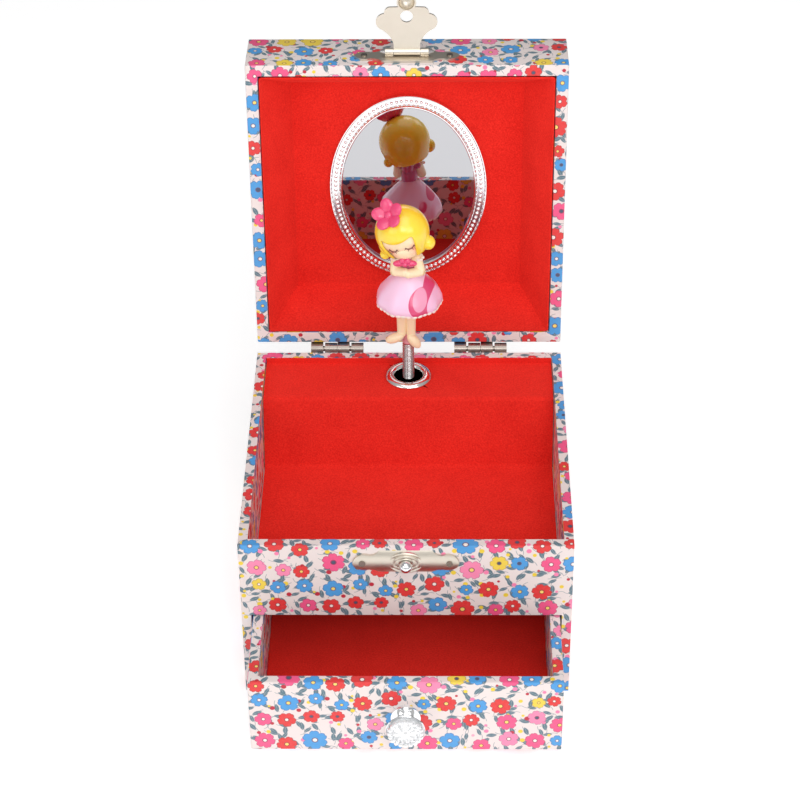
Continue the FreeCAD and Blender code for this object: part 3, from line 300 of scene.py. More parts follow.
def turned(tree, offset, amount):
    """Offset turned by a random share of a full turn, as two numbers."""
    spin = tree.nodes.new("ShaderNodeVectorRotate")
    spin.rotation_type = "Z_AXIS"
    feed(tree, spin.inputs["Vector"], offset)
    feed(tree, spin.inputs["Angle"], calc(tree, "MULTIPLY", amount, 2 * math.pi))
    parts = tree.nodes.new("ShaderNodeSeparateXYZ")
    feed(tree, parts.inputs[0], spin.outputs[0])
    return parts.outputs[0], parts.outputs[1]


flowers, takes, gives = group(
    "small_flowers", [("Place", "NodeSocketVector", (0, 0, 0))], [("Color", "NodeSocketColor")]
)
place = takes.outputs["Place"]


def ink(how, *values):
    return calc(flowers, how, *values)


def times(first, second):
    return calc(flowers, "MULTIPLY", first, second)


def less(first, second):
    return calc(flowers, "SUBTRACT", first, second)


def within(value, edge, soft):
    return inside(flowers, value, edge, soft)


def over(amount, below, above):
    """One colour laid over another."""
    return mix(flowers, amount, below, above)


# Leaves and sprigs lie under the flowers, on two tighter scatters. Each row is the
# spacing, a shift that keeps the two apart, and a leaf's half length and half width.
LEAF_ROWS = (
    (5.0, (3.1, 7.7, 0), 1.85, 0.8),
    (5.8, (91.3, 40.2, 0), 1.6, 0.66),
)
STALK_HALF = 3.4
colour = PAPER
for spacing, shift, half_length, half_width in LEAF_ROWS:
    offset, chance = scatter(flowers, arrow(flowers, "ADD", place, shift), spacing, 0.8)
    x, y = turned(flowers, offset, chance[1])
    along = ink("ABSOLUTE", x)
    beside = ink("ABSOLUTE", y)
    bulge = less(1, ink("POWER", ink("DIVIDE", along, half_length), 2))
    leaf = within(beside, times(bulge, half_width), 0.2)
    vein = within(beside, 0.05, 0.1)
    colour = over(leaf, colour, over(times(vein, 0.5), LEAF, PAPER))
    wave = times(ink("SINE", times(x, 0.9)), 0.5)
    stalk = within(ink("ABSOLUTE", less(y, wave)), 0.09, 0.12)
    stalk = times(stalk, within(along, STALK_HALF, 0.1))
    colour = over(times(stalk, 0.8), colour, LEAF)

# Loose dots and buds. The share of cells past BUDS stays blank.
BUDS = 0.75
offset, chance = scatter(flowers, arrow(flowers, "ADD", place, (17.7, 61.9, 0)), 4.6, 0.9)
bud = pick(flowers, chance[0], [(0, YELLOW), (0.35, BERRY), (0.55, ROSE), (BUDS, PAPER)])
size = ink("ADD", 0.45, times(chance[1], 0.45))
dot = within(arrow(flowers, "LENGTH", offset), size, 0.15)
dot = times(dot, within(chance[0], BUDS, 0.01))
colour = over(dot, colour, bud)

# The flowers themselves: edge, dark outline, petal shading, eye.
FLOWER_SPACING = 8.8
FLOWER_DRIFT = 0.5
SMALLEST = 2.3
GROWTH = 2.5
CRISP = 0.14
offset, chance = scatter(flowers, place, FLOWER_SPACING, FLOWER_DRIFT)
around = cells(flowers, place, FLOWER_SPACING, FLOWER_DRIFT, "N_SPHERE_RADIUS")
room = times(around["Radius"], FLOWER_SPACING)
kinds = [(0, RED), (0.35, BLUE), (0.59, PINK), (0.83, ROSE), (0.92, YELLOW)]
petal = pick(flowers, chance[0], kinds)
x, y = turned(flowers, offset, chance[1])
angle = ink("ARCTAN2", y, x)
far = arrow(flowers, "LENGTH", offset)
wanted = ink("ADD", SMALLEST, times(ink("POWER", chance[2], 0.7), GROWTH))
reach = ink("MINIMUM", wanted, less(room, 0.1))
waves = ink("ADD", 2.5, times(ink("GREATER_THAN", chance[2], 0.55), 0.5))
swell = ink("ABSOLUTE", ink("COSINE", times(angle, waves)))
lobe = ink("ADD", 0.7, times(ink("POWER", swell, 0.55), 0.3))
notch = times(ink("POWER", swell, 24.0), 0.07)
edge = times(reach, less(lobe, notch))
body = within(far, edge, CRISP)
dark = mix(flowers, 1.0, petal, (0.36, 0.3, 0.42, 1), "MULTIPLY")
outline = less(1, within(far, less(edge, 0.22), CRISP))
petal = over(times(outline, 0.7), petal, dark)
shade = noise(flowers, place, 1.1, 3.0)
petal = over(times(shade, 0.06), petal, (1, 1, 1, 1))
colour = over(body, colour, petal)
eye_rim = times(within(far, times(reach, 0.25), CRISP), body)
colour = over(times(eye_rim, 0.8), colour, paint(110, 50, 60))
eye = within(far, times(reach, 0.17), CRISP)
hearts = [(0, paint(246, 214, 110)), (0.45, paint(244, 232, 224)), (0.8, paint(70, 84, 110))]
colour = over(eye, colour, pick(flowers, chance[1], hearts))
flowers.links.new(colour, gives.inputs["Color"])
print("flower print:", len(flowers.nodes), "nodes")

# %% [markdown]
# Red flock is a dense fur of very short fibres. It has no shine, but it has
# sheen, a light edge where the fibres are seen from the side, and a soft
# mottling where they lie differently.

# %% Shared surface groups
PLACE_IN = ("Place", "NodeSocketVector", (0, 0, 0))
HEIGHT_OUT = ("Height", "NodeSocketFloat")
flock_group, takes, gives = group(
    "flock",
    [PLACE_IN, ("Light", "NodeSocketColor", (1, 0, 0, 1)), ("Dark", "NodeSocketColor", (0.5, 0, 0, 1))],
    [("Color", "NodeSocketColor"), HEIGHT_OUT],
)
patches = noise(flock_group, takes.outputs["Place"], 90, 4.0)
fibres = noise(flock_group, takes.outputs["Place"], 1900, 2.0)
grain = calc(flock_group, "MULTIPLY_ADD", fibres, 1.1, -0.25)
blend = calc(flock_group, "MULTIPLY_ADD", patches, 0.4, grain, clamp=True)
pile = mix(flock_group, blend, takes.outputs["Dark"], takes.outputs["Light"])
flock_group.links.new(pile, gives.inputs["Color"])
flock_group.links.new(fibres, gives.inputs["Height"])

wear_group, takes, gives = group(
    "tumbled",
    [PLACE_IN, ("Base", "NodeSocketFloat", 0.3), ("Spread", "NodeSocketFloat", 0.1)],
    [("Roughness", "NodeSocketFloat"), HEIGHT_OUT],
)
grain = noise(wear_group, takes.outputs["Place"], 3000, 3.0)
cloud = noise(wear_group, takes.outputs["Place"], 220, 2.0)
change = calc(wear_group, "MULTIPLY", calc(wear_group, "SUBTRACT", cloud, 0.5), takes.outputs["Spread"])
polish = calc(wear_group, "ADD", takes.outputs["Base"], change, clamp=True)
wear_group.links.new(polish, gives.inputs["Roughness"])
wear_group.links.new(grain, gives.inputs["Height"])
print("flock and tumbled metal groups ready")

# %% Material helpers


def material(name, **values):
    """Material with plain values on its shader; Base_Color stands for the socket Base Color."""
    made = bpy.data.materials.new(name)
    made.use_nodes = True
    shader = made.node_tree.nodes["Principled BSDF"]
    for label, value in values.items():
        shader.inputs[label.replace("_", " ")].default_value = value
    return made, made.node_tree, shader


def place_group(tree, source, **values):
    node = tree.nodes.new("ShaderNodeGroup")
    node.node_tree = source
    for label, value in values.items():
        feed(tree, node.inputs[label], value)
    return node


def own_place(tree):
    return tree.nodes.new("ShaderNodeTexCoord").outputs["Object"]


def bump(tree, shader, height, strength, depth):
    node = tree.nodes.new("ShaderNodeBump")
    node.inputs["Strength"].default_value = strength
    node.inputs["Distance"].default_value = depth
    feed(tree, node.inputs["Height"], height)
    tree.links.new(node.outputs[0], shader.inputs["Normal"])


def metal(name, colour, rough, spread=0.1, relief=0.0):
    """Metal with cloudy polish and, where relief is given, a sandy grain."""
    made, tree, shader = material(name, Base_Color=colour, Metallic=1.0)
    wear = place_group(tree, wear_group, Place=own_place(tree), Base=rough, Spread=spread)
    tree.links.new(wear.outputs["Roughness"], shader.inputs["Roughness"])
    if relief:
        bump(tree, shader, wear.outputs["Height"], relief, 0.00005)
    return made


# %% Materials of this box
floor_mat, tree, shader = material("studio_floor", Base_Color=(0.92, 0.92, 0.92, 1), Roughness=0.9)
shader.inputs["Emission Color"].default_value = (1, 1, 1, 1)
shader.inputs["Emission Strength"].default_value = 0.42
floor_mesh.materials.append(floor_mat)

PRINT_UNIT = 100
paper_mat, tree, shader = material("printed_paper", Roughness=0.45)
wrap = tree.nodes.new("ShaderNodeUVMap")
wrap.uv_map = "print"
scaled = arrow(tree, "MULTIPLY", wrap.outputs[0], (PRINT_UNIT, PRINT_UNIT, 0))
print_node = place_group(tree, flowers, Place=scaled)
tree.links.new(print_node.outputs["Color"], shader.inputs["Base Color"])
bump(tree, shader, noise(tree, own_place(tree), 1500, 2.0), 0.08, 0.0001)

flock_mat, tree, shader = material("red_flock", Roughness=0.95, Specular_IOR_Level=0.15)
shader.inputs["Sheen Weight"].default_value = 0.3
shader.inputs["Sheen Roughness"].default_value = 0.5
shader.inputs["Sheen Tint"].default_value = paint(255, 120, 100)
reds = {"Light": paint(250, 54, 42), "Dark": paint(200, 20, 16)}
soft = place_group(tree, flock_group, Place=own_place(tree), **reds)
tree.links.new(soft.outputs["Color"], shader.inputs["Base Color"])
bump(tree, shader, soft.outputs["Height"], 0.35, 0.0002)

grey_mat, tree, shader = material("grey_board", Roughness=0.85)
specks = noise(tree, own_place(tree), 900, 3.0)
pulp = mix(tree, specks, paint(140, 136, 128), paint(186, 181, 170))
tree.links.new(pulp, shader.inputs["Base Color"])

nickel_mat = metal("bright_nickel", (0.82, 0.8, 0.78, 1), 0.16)
dark_nickel_mat = metal("dark_nickel", (0.3, 0.26, 0.23, 1), 0.28, 0.2)
satin_mat = metal("satin_nickel", (0.7, 0.64, 0.55, 1), 0.36, 0.15, 0.25)
steel_mat = metal("spring_steel", (0.62, 0.6, 0.6, 1), 0.22)
chrome_mat = metal("bright_chrome", (0.86, 0.87, 0.88, 1), 0.1, 0.06)
brass_mat = metal("movement_brass", (0.72, 0.52, 0.24, 1), 0.3)
foil_mat, tree, shader = material("cut_crystal", Base_Color=(0.9, 0.91, 0.92, 1), Metallic=0.45)
shader.inputs["Roughness"].default_value = 0.12
shader.inputs["Coat Weight"].default_value = 1.0
mirror_mat = material("mirror_face", Base_Color=(0.5, 0.5, 0.52, 1), Metallic=1.0, Roughness=0.015)[0]
nylon_mat = material("white_nylon", Base_Color=paint(232, 228, 216), Roughness=0.42)[0]

finishes = {
    "grey_board": grey_mat,
    "bright_nickel": nickel_mat,
    "dark_nickel": dark_nickel_mat,
    "satin_nickel": satin_mat,
    "catch_steel": steel_mat,
    "screw_steel": steel_mat,
    "movement_steel": steel_mat,
    "movement_brass": brass_mat,
    "gear_nylon": nylon_mat,
    "mirror": mirror_mat,
    "knob_chrome": chrome_mat,
}
slot_of = {part["node"]: part["material_slot"] for part in frame["record"]["subparts"]}
for name, node in frame["nodes"].items():
    finish = finishes.get(slot_of.get(name))
    if finish:
        node.data.materials.clear()
        node.data.materials.append(finish)
print(len(bpy.data.materials), "materials;", len(slot_of), "pieces have a named finish")

# %% Piece helper


def piece(name, bm, look, body, stands_for=(), angle=30, turn_normals=True):
    """Shrinks a shape to metres, smooths it below an angle and lets it ride on its body."""
    if turn_normals:
        bmesh.ops.recalc_face_normals(bm, faces=bm.faces)
    bmesh.ops.scale(bm, vec=(MM, MM, MM), verts=bm.verts)
    mesh = bpy.data.meshes.new(name)
    bm.to_mesh(mesh)
    bm.free()
    mesh.materials.append(look)
    mesh.shade_smooth()
    mesh.set_sharp_from_angle(angle=math.radians(angle))
    made = bpy.data.objects.new(name, mesh)
    scene.collection.objects.link(made)
    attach(made, body)
    if stands_for:
        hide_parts(*stands_for)
    print(name, len(mesh.polygons), "faces")
    return made


def open_lid(bm):
    """Swings a shape drawn with the lid shut to where the open lid stands."""
    bmesh.ops.rotate(bm, verts=bm.verts, cent=HINGE, matrix=Matrix.Rotation(-OPEN, 3, "X"))


def block(low, high):
    """Closed block between two corners."""
    bm = bmesh.new()
    bmesh.ops.create_cube(bm, size=1)
    low, high = Vector(low), Vector(high)
    bmesh.ops.scale(bm, vec=high - low, verts=bm.verts)
    bmesh.ops.translate(bm, vec=(low + high) / 2, verts=bm.verts)
    return bm


def edges_of(verts):
    return list({e for v in verts for e in v.link_edges})


def faces_at(bm, axis, place, sign):
    """Faces that lie at a place along an axis and look along it."""
    found = []
    for face in bm.faces:
        middle = face.calc_center_median()
        if abs(middle[axis] - place) < 0.01 and face.normal[axis] * sign > 0.9:
            found.append(face)
    return found


def hollow(bm, face, wall, depth):
    """Sinks a recess with an even wall into a face."""
    bmesh.ops.inset_region(bm, faces=[face], thickness=wall, use_even_offset=True)
    way = face.normal.copy()
    made = bmesh.ops.extrude_face_region(bm, geom=[face])
    moved = [v for v in made["geom"] if isinstance(v, bmesh.types.BMVert)]
    bmesh.ops.translate(bm, vec=-way * depth, verts=moved)
    if face.is_valid:
        bmesh.ops.delete(bm, geom=[face], context="FACES")


def cut_lines(bm, face, lines):
    """Scores lines across one face: each line is a point and the direction across it."""
    parts = [face]
    for point, way in lines:
        geom = list(parts)
        for f in parts:
            geom += list(f.edges) + list(f.verts)
        made = bmesh.ops.bisect_plane(
            bm, geom=list(set(geom)), dist=0.0001, plane_co=point, plane_no=way
        )
        parts = [f for f in made["geom"] if isinstance(f, bmesh.types.BMFace)]
    return parts


def bevel(bm, edges, radius, segments, clamp=True):
    bmesh.ops.bevel(
        bm, geom=edges, offset=radius, offset_type="OFFSET", segments=segments,
        profile=0.5, affect="EDGES", clamp_overlap=clamp, material=-1,
    )


def round_edges(bm, radius, segments, keep=lambda edge: True):
    """Rounds the sharp edges that keep allows."""
    joined = [e for e in bm.edges if len(e.link_faces) == 2]
    sharp = [e for e in joined if e.calc_face_angle() > 0.5 and keep(e)]
    bevel(bm, sharp, radius, segments)


def wrap_print(bm, shift=(0, 0)):
    """Lays the print over a box so that it runs on from face to face."""
    layer = bm.loops.layers.uv.new("print")
    top = max(v.co.z for v in bm.verts)
    front = min(v.co.y for v in bm.verts)
    half = max(v.co.x for v in bm.verts)
    bm.normal_update()
    for face in bm.faces:
        n = face.normal
        for loop in face.loops:
            p = loop.vert.co
            if abs(n.z) >= max(abs(n.x), abs(n.y)):
                u, v = p.x, (top + p.y - front) * (1 if n.z > 0 else -1)
            elif abs(n.y) >= abs(n.x):
                u, v = (p.x, p.z) if n.y < 0 else (4 * half - p.x, p.z)
            else:
                u, v = (half + p.y - front, p.z) if n.x > 0 else (-half - p.y + front, p.z)
            loop[layer].uv = ((u + shift[0]) / PRINT_UNIT, (v + shift[1]) / PRINT_UNIT)


print("piece helpers ready")

# %% [markdown]
# The base is drawn as one wrapped shell: a block with a recess sunk from the top
# for the compartment and the movement, and a bay opened through the front for
# the drawer. Paper pulled over board gives small rounded edges, so the last step
# is a narrow bevel.

# %% Base shell
EDGE = 0.45
NEAR = 0.1
bm = block((-HALF, -HALF, 0), (HALF, HALF, RIM))
hollow(bm, faces_at(bm, 2, RIM, 1)[0], WALL, RIM - BAY_LOW)
bm.normal_update()
inner = HALF - WALL
scores = [((0, 0, z), (0, 0, 1)) for z in (BAY_TOP, BAY_LOW)]
scores += [((x, 0, 0), (1, 0, 0)) for x in (inner, -inner)]
cut_lines(bm, faces_at(bm, 1, -HALF, -1)[0], scores)
cut_lines(bm, faces_at(bm, 1, -inner, 1)[0], scores[:1])


def in_bay(face):
    p = face.calc_center_median()
    in_opening = abs(p.x) < inner and BAY_LOW < p.z < BAY_TOP
    return in_opening and p.y < -inner + NEAR and abs(face.normal.y) > 0.9


openings = [f for f in bm.faces if in_bay(f)]
loops = list({e for f in openings for e in f.edges})
bmesh.ops.delete(bm, geom=openings, context="FACES_ONLY")
bmesh.ops.bridge_loops(bm, edges=loops)
print("bay opened between", BAY_LOW, "and", round(BAY_TOP, 2), "mm")
bmesh.ops.recalc_face_normals(bm, faces=bm.faces)
bmesh.ops.dissolve_limit(bm, angle_limit=0.01, verts=bm.verts, edges=bm.edges)


def on_outside(low, high):
    """Test for edges on the outside of a box, which leaves out the hidden inner corners."""

    def outer(p):
        return any(p[i] < low[i] + NEAR or p[i] > high[i] - NEAR for i in range(3))

    return lambda edge: all(outer(v.co) for v in edge.verts)


round_edges(bm, EDGE, 3, on_outside((-HALF, -HALF, 0), (HALF, HALF, RIM)))
wrap_print(bm)
boards = ("bottom_board", "left_side_board", "right_side_board", "back_board", "front_board")
piece("base_shell", bm, paper_mat, "base", boards)

# %% Drawer shell
UNDER_FLOCK = 0.4
low = (-drawer_high.x, drawer_low.y, drawer_low.z)
high = (drawer_high.x, drawer_back_high.y, drawer_high.z)
bm = block(low, high)
depth = drawer_high.z - drawer_floor + UNDER_FLOCK
hollow(bm, faces_at(bm, 2, drawer_high.z, 1)[0], drawer_wall, depth)
round_edges(bm, EDGE, 3, on_outside(low, high))
wrap_print(bm, (14, 21))
boards = ("drawer_front", "drawer_sides", "drawer_back", "drawer_bottom")
piece("drawer_shell", bm, paper_mat, "drawer", boards)

# %% Lid shell, drawn shut
SHUT_RIM = RIM + 0.3
LID_RISE = 21.7
LID_TOP = SHUT_RIM + LID_RISE
LID_WALL = 4.2
LID_ROOF = 3.2
low = (-HALF, -HALF, SHUT_RIM)
high = (HALF, HALF, LID_TOP)
bm = block(low, high)
hollow(bm, faces_at(bm, 2, SHUT_RIM, -1)[0], LID_WALL, LID_RISE - LID_ROOF)
round_edges(bm, EDGE, 3, on_outside(low, high))
wrap_print(bm, (37, 5))
open_lid(bm)
boards = ("lid_top_board", "lid_front_board", "lid_back_board", "lid_side_boards")
piece("lid_shell", bm, paper_mat, "lid", boards)

# %% [markdown]
# The linings are thin cards covered with flock. The one in the compartment is a
# folded strip: floor, slope and deck. The one in the lid is drawn as the hollow it
# leaves: a block with rounded corners, whose mouth is taken away and whose skin
# then gets thickness outwards. Flocked card never folds to a crisp line, so each
# fold is rounded.

# %% Lining helpers


def shape_from_outline(points, x_low, x_high):
    """Solid whose outline in the YZ plane runs from one x to another."""
    bm = bmesh.new()
    outline = bm.faces.new([bm.verts.new((x_low, y, z)) for y, z in points])
    made = bmesh.ops.extrude_face_region(bm, geom=[outline])
    moved = [v for v in made["geom"] if isinstance(v, bmesh.types.BMVert)]
    bmesh.ops.translate(bm, vec=(x_high - x_low, 0, 0), verts=moved)
    bmesh.ops.recalc_face_normals(bm, faces=bm.faces)
    return bm


def thicken(made, wall):
    """Gives a skin a wall outwards, in mm."""
    skin = made.modifiers.new("wall", "SOLIDIFY")
    skin.thickness = wall * MM
    skin.offset = -1


def round_hole(bm, face, centre, radius, steps=24):
    """Opens a round hole in a level face."""
    half = radius + 1.5
    lines = [((centre.x + side * half, 0, 0), (1, 0, 0)) for side in (-1, 1)]
    lines += [((0, centre.y + side * half, 0), (0, 1, 0)) for side in (-1, 1)]
    parts = cut_lines(bm, face, lines)
    middle = min(parts, key=lambda f: (f.calc_center_median() - centre).length)
    frame_edges = list(middle.edges)
    bmesh.ops.delete(bm, geom=[middle], context="FACES_ONLY")
    split = bmesh.ops.subdivide_edges(bm, edges=frame_edges, cuts=steps // 4 - 1)
    parts = set(split["geom_inner"] + split["geom_split"])
    outer = [e for e in parts if isinstance(e, bmesh.types.BMEdge) and len(e.link_faces) == 1]
    at = Matrix.Translation(centre)
    circle = bmesh.ops.create_circle(bm, segments=steps, radius=radius, matrix=at)
    bmesh.ops.bridge_loops(bm, edges=outer + edges_of(circle["verts"]))


# %% Compartment, drawer and lid linings
lining_low, lining_high = span("compartment_lining")
CARD = 0.8
FLOCK = 0.7
deck = span("platform_board")[1].z + CARD
floor_top = span("shelf_board")[1].z + CARD
PLATFORM_FOOT = 22.3
PLATFORM_CREST = 29.4
SLANT = 0.6
FOLD = 1.3
DECK_HOLE = 5.9
shaft_low, shaft_high = span("spindle_shaft")
EYELET = Vector((0, (shaft_low.y + shaft_high.y) / 2, deck))
outline = [
    (lining_low.y, floor_top),
    (PLATFORM_FOOT, floor_top),
    (PLATFORM_CREST, deck),
    (lining_high.y - FLOCK, deck),
    (lining_high.y - FLOCK, RIM - 0.1),
    (lining_high.y, RIM - 0.1),
    (lining_high.y, deck - FLOCK),
    (PLATFORM_CREST + SLANT, deck - FLOCK),
    (PLATFORM_FOOT + SLANT, floor_top - FLOCK),
    (lining_low.y, floor_top - FLOCK),
]
bm = shape_from_outline(outline, lining_low.x, lining_high.x)


def at_point(edge, y, z):
    return all(abs(v.co.y - y) < NEAR and abs(v.co.z - z) < NEAR for v in edge.verts)


folds = [
    e for e in bm.edges
    if at_point(e, PLATFORM_FOOT, floor_top) or at_point(e, PLATFORM_CREST, deck)
]
bevel(bm, folds, FOLD, 5, clamp=False)
for height, sign in ((deck, 1), (deck - FLOCK, -1)):
    centre = Vector((EYELET.x, EYELET.y, height))
    round_hole(bm, faces_at(bm, 2, height, sign)[0], centre, DECK_HOLE)
rims = [e for e in bm.edges if len(e.link_faces) == 1]
bmesh.ops.bridge_loops(bm, edges=rims)
piece("compartment_flock", bm, flock_mat, "base", ("compartment_lining",), 40)

wall = drawer_wall + 0.05
low = (wall - drawer_high.x, drawer_low.y + wall, drawer_floor - FLOCK)
high = (drawer_high.x - wall, drawer_back_high.y - wall, drawer_floor)
bm = block(low, high)
round_edges(bm, 0.25, 2)
piece("drawer_flock", bm, flock_mat, "drawer", ("drawer_lining",))

TRAY_SLOPE = 10.3
TRAY_MOUTH = HALF - LID_WALL - CARD
TRAY_FLOOR = LID_TOP - LID_ROOF - CARD
TRAY_SHRINK = (HALF - LID_WALL - TRAY_SLOPE) / TRAY_MOUTH
bm = block((-TRAY_MOUTH, -TRAY_MOUTH, SHUT_RIM), (TRAY_MOUTH, TRAY_MOUTH, TRAY_FLOOR))
ceiling = [v for v in bm.verts if v.co.z > TRAY_FLOOR - NEAR]
bmesh.ops.scale(bm, vec=(TRAY_SHRINK, TRAY_SHRINK, 1), verts=ceiling)
round_edges(bm, 0.5, 4, lambda e: any(v.co.z > SHUT_RIM + 0.01 for v in e.verts))
mouth = [f for f in bm.faces if all(v.co.z < SHUT_RIM + 0.01 for v in f.verts)]
bmesh.ops.delete(bm, geom=mouth, context="FACES")
bmesh.ops.reverse_faces(bm, faces=bm.faces)
open_lid(bm)
tray = piece("lid_flock", bm, flock_mat, "lid", ("lid_lining",), 50, turn_normals=False)
thicken(tray, 0.6)

# %% [markdown]
# The mirror's frame is a stamped oval: a thin flange, a band of small beads and a
# rolled inner lip. Every line of it keeps an even distance from the oval, so the
# rings are made as circles whose points are moved onto that line and then bridged
# one to the next.

# %% Mirror frame, drawn with the lid shut
MIRROR_X = 28.0
MIRROR_Y = 36.0


def oval_point(angle, inset, z):
    """Point at an even distance inside the mirror's oval."""
    across, along = math.cos(angle), math.sin(angle)
    out = Vector((across / MIRROR_X, along / MIRROR_Y, 0)).normalized()
    return Vector((MIRROR_X * across, MIRROR_Y * along, z)) - out * inset


def oval_ring(bm, inset, z, steps=160):
    made = bmesh.ops.create_circle(bm, segments=steps, radius=1)
    for v in made["verts"]:
        v.co = oval_point(math.atan2(v.co.y, v.co.x), inset, z)
    return edges_of(made["verts"])


def even_angles(inset, count):
    """Angles that space count points evenly along an oval line."""
    steps = 2000
    points = [oval_point(2 * math.pi * i / steps, inset, 0) for i in range(steps + 1)]
    run = [0.0]
    for a, b in zip(points, points[1:]):
        run.append(run[-1] + (b - a).length)
    found, i = [], 0
    for k in range(count):
        while run[i] < run[-1] * k / count:
            i += 1
        found.append(2 * math.pi * i / steps)
    return found


def ball(bm, centre, radii, turn=None, around=24, down=16):
    """Egg with three half sizes; turn is a rotation matrix."""
    made = bmesh.ops.create_uvsphere(bm, u_segments=around, v_segments=down, radius=1)["verts"]
    bmesh.ops.scale(bm, vec=radii, verts=made)
    if turn is not None:
        bmesh.ops.rotate(bm, cent=(0, 0, 0), matrix=turn, verts=made)
    bmesh.ops.translate(bm, vec=centre, verts=made)


# Distance in from the oval and height off the tray, from the flange to the lip.
FRAME_PROFILE = (
    (0, 0), (0, 1.6), (0.15, 2.0), (0.45, 2.05), (0.65, 1.75), (0.8, 1.5),
    (3.3, 1.8), (3.5, 2.5), (3.8, 2.95), (4.2, 2.95), (4.5, 2.6), (4.5, 1.6),
)
BEADS = 107
BEAD_INSET = 2.1
bm = bmesh.new()
rings = [oval_ring(bm, inset, TRAY_FLOOR - high) for inset, high in FRAME_PROFILE]
for first, second in zip(rings, rings[1:]):
    bmesh.ops.bridge_loops(bm, edges=first + second)
for angle in even_angles(BEAD_INSET, BEADS):
    at = oval_point(angle, BEAD_INSET, TRAY_FLOOR - 1.75)
    ball(bm, at, (0.66, 0.66, 0.6), None, 8, 6)
bmesh.ops.recalc_face_normals(bm, faces=bm.faces)
open_lid(bm)
piece("mirror_surround", bm, chrome_mat, "lid", ("mirror_frame",), 40)
print(BEADS, "beads")

# %% [markdown]
# Turned parts, such as the eyelet round the doll's spring and the drawer knob's
# base, are a half outline spun about an axis. The knob's crystal is a fluted disc
# of silvered facets with a ring of cut beads round its edge.

# %% Turned parts


def lathe(profile, centre, way, steps=64):
    """Closed shape from (radius, height) points spun about an axis through centre."""
    bm = bmesh.new()
    points = [bm.verts.new((r, 0, h)) for r, h in profile]
    line = [bm.edges.new(pair) for pair in zip(points, points[1:])]
    if profile[0] != profile[-1] and profile[0][0] > 0:
        line.append(bm.edges.new((points[-1], points[0])))
    bmesh.ops.spin(
        bm, geom=points + line, cent=(0, 0, 0), axis=(0, 0, 1),
        angle=2 * math.pi, steps=steps, use_merge=True,
    )
    bmesh.ops.remove_doubles(bm, verts=bm.verts, dist=0.0005)
    bmesh.ops.recalc_face_normals(bm, faces=bm.faces)
    lie = Vector((0, 0, 1)).rotation_difference(Vector(way)).to_matrix()
    bmesh.ops.rotate(bm, cent=(0, 0, 0), matrix=lie, verts=bm.verts)
    bmesh.ops.translate(bm, vec=centre, verts=bm.verts)
    return bm


eyelet_profile = [
    (4.9, -2.6), (5.3, -2.6), (5.3, 0), (8.3, 0), (8.45, 0.25), (8.3, 0.75),
    (7.6, 1.3), (6.7, 1.62), (6.0, 1.6), (5.4, 1.2), (5.0, 0.6), (4.9, 0),
]
bm = lathe(eyelet_profile, EYELET, (0, 0, 1))
piece("deck_eyelet", bm, nickel_mat, "base", ("eyelet",), 50)

knob_low, knob_high = span("knob_base")
KNOB = Vector((0, knob_high.y, (knob_low.z + knob_high.z) / 2))
KNOB_R = knob_high.x
CUP = knob_high.y - knob_low.y
knob_profile = [
    (0, 0), (5.1, 0), (4.9, 0.8), (3.4, 1.5), (2.7, 2.4), (2.7, CUP - 2.4), (3.6, CUP - 1.6),
    (KNOB_R - 0.5, CUP - 0.8), (KNOB_R, CUP), (KNOB_R - 0.2, CUP + 0.3), (KNOB_R - 0.8, CUP),
    (KNOB_R - 1.0, CUP - 0.5), (0, CUP - 0.6),
]
bm = lathe(knob_profile, KNOB, (0, -1, 0))
piece("knob_cup", bm, chrome_mat, "drawer", ("knob_base",), 50)

# The crystal's face: a fluted disc of silvered facets inside a ring of cut beads.
FLUTES = 20
GROOVE = 0.45
reach = KNOB.y - span("knob_crystal")[0].y
bm = bmesh.new()
rings = []
for radius, height, groove in (
    (KNOB_R - 1.0, CUP - 0.4, GROOVE),
    (KNOB_R - 1.3, reach - 1.5, GROOVE),
    (3.4, reach - 0.9, GROOVE),
    (1.5, reach - 0.7, GROOVE * 0.6),
):
    at = Matrix.Translation((0, 0, height))
    made = bmesh.ops.create_circle(bm, segments=FLUTES * 2, radius=radius, matrix=at)
    rings.append(edges_of(made["verts"]))
    for number, vert in enumerate(made["verts"]):
        vert.co.z -= groove * (number % 2)
for first, second in zip(rings, rings[1:]):
    bmesh.ops.bridge_loops(bm, edges=first + second)
bmesh.ops.holes_fill(bm, edges=bm.edges, sides=FLUTES * 2)
at = Matrix.Translation((0, 0, reach - 0.55))
bmesh.ops.create_cone(bm, cap_ends=True, segments=8, radius1=1.3, radius2=0.35, depth=0.5, matrix=at)
to_front = Matrix.Rotation(math.pi / 2, 4, "X")
bmesh.ops.rotate(bm, cent=(0, 0, 0), matrix=to_front, verts=bm.verts)
bmesh.ops.translate(bm, vec=KNOB, verts=bm.verts)
piece("knob_foil", bm, foil_mat, "drawer", (), 3)

bm = bmesh.new()
ring = KNOB_R - 1.25
for step in range(FLUTES):
    a = 2 * math.pi * step / FLUTES
    centre = KNOB + Vector((ring * math.cos(a), 1.0 - reach, ring * math.sin(a)))
    at = Matrix.Translation(centre)
    bmesh.ops.create_icosphere(bm, subdivisions=1, radius=0.9, matrix=at)
piece("knob_crystal_beads", bm, foil_mat, "drawer", ("knob_crystal",), 3)

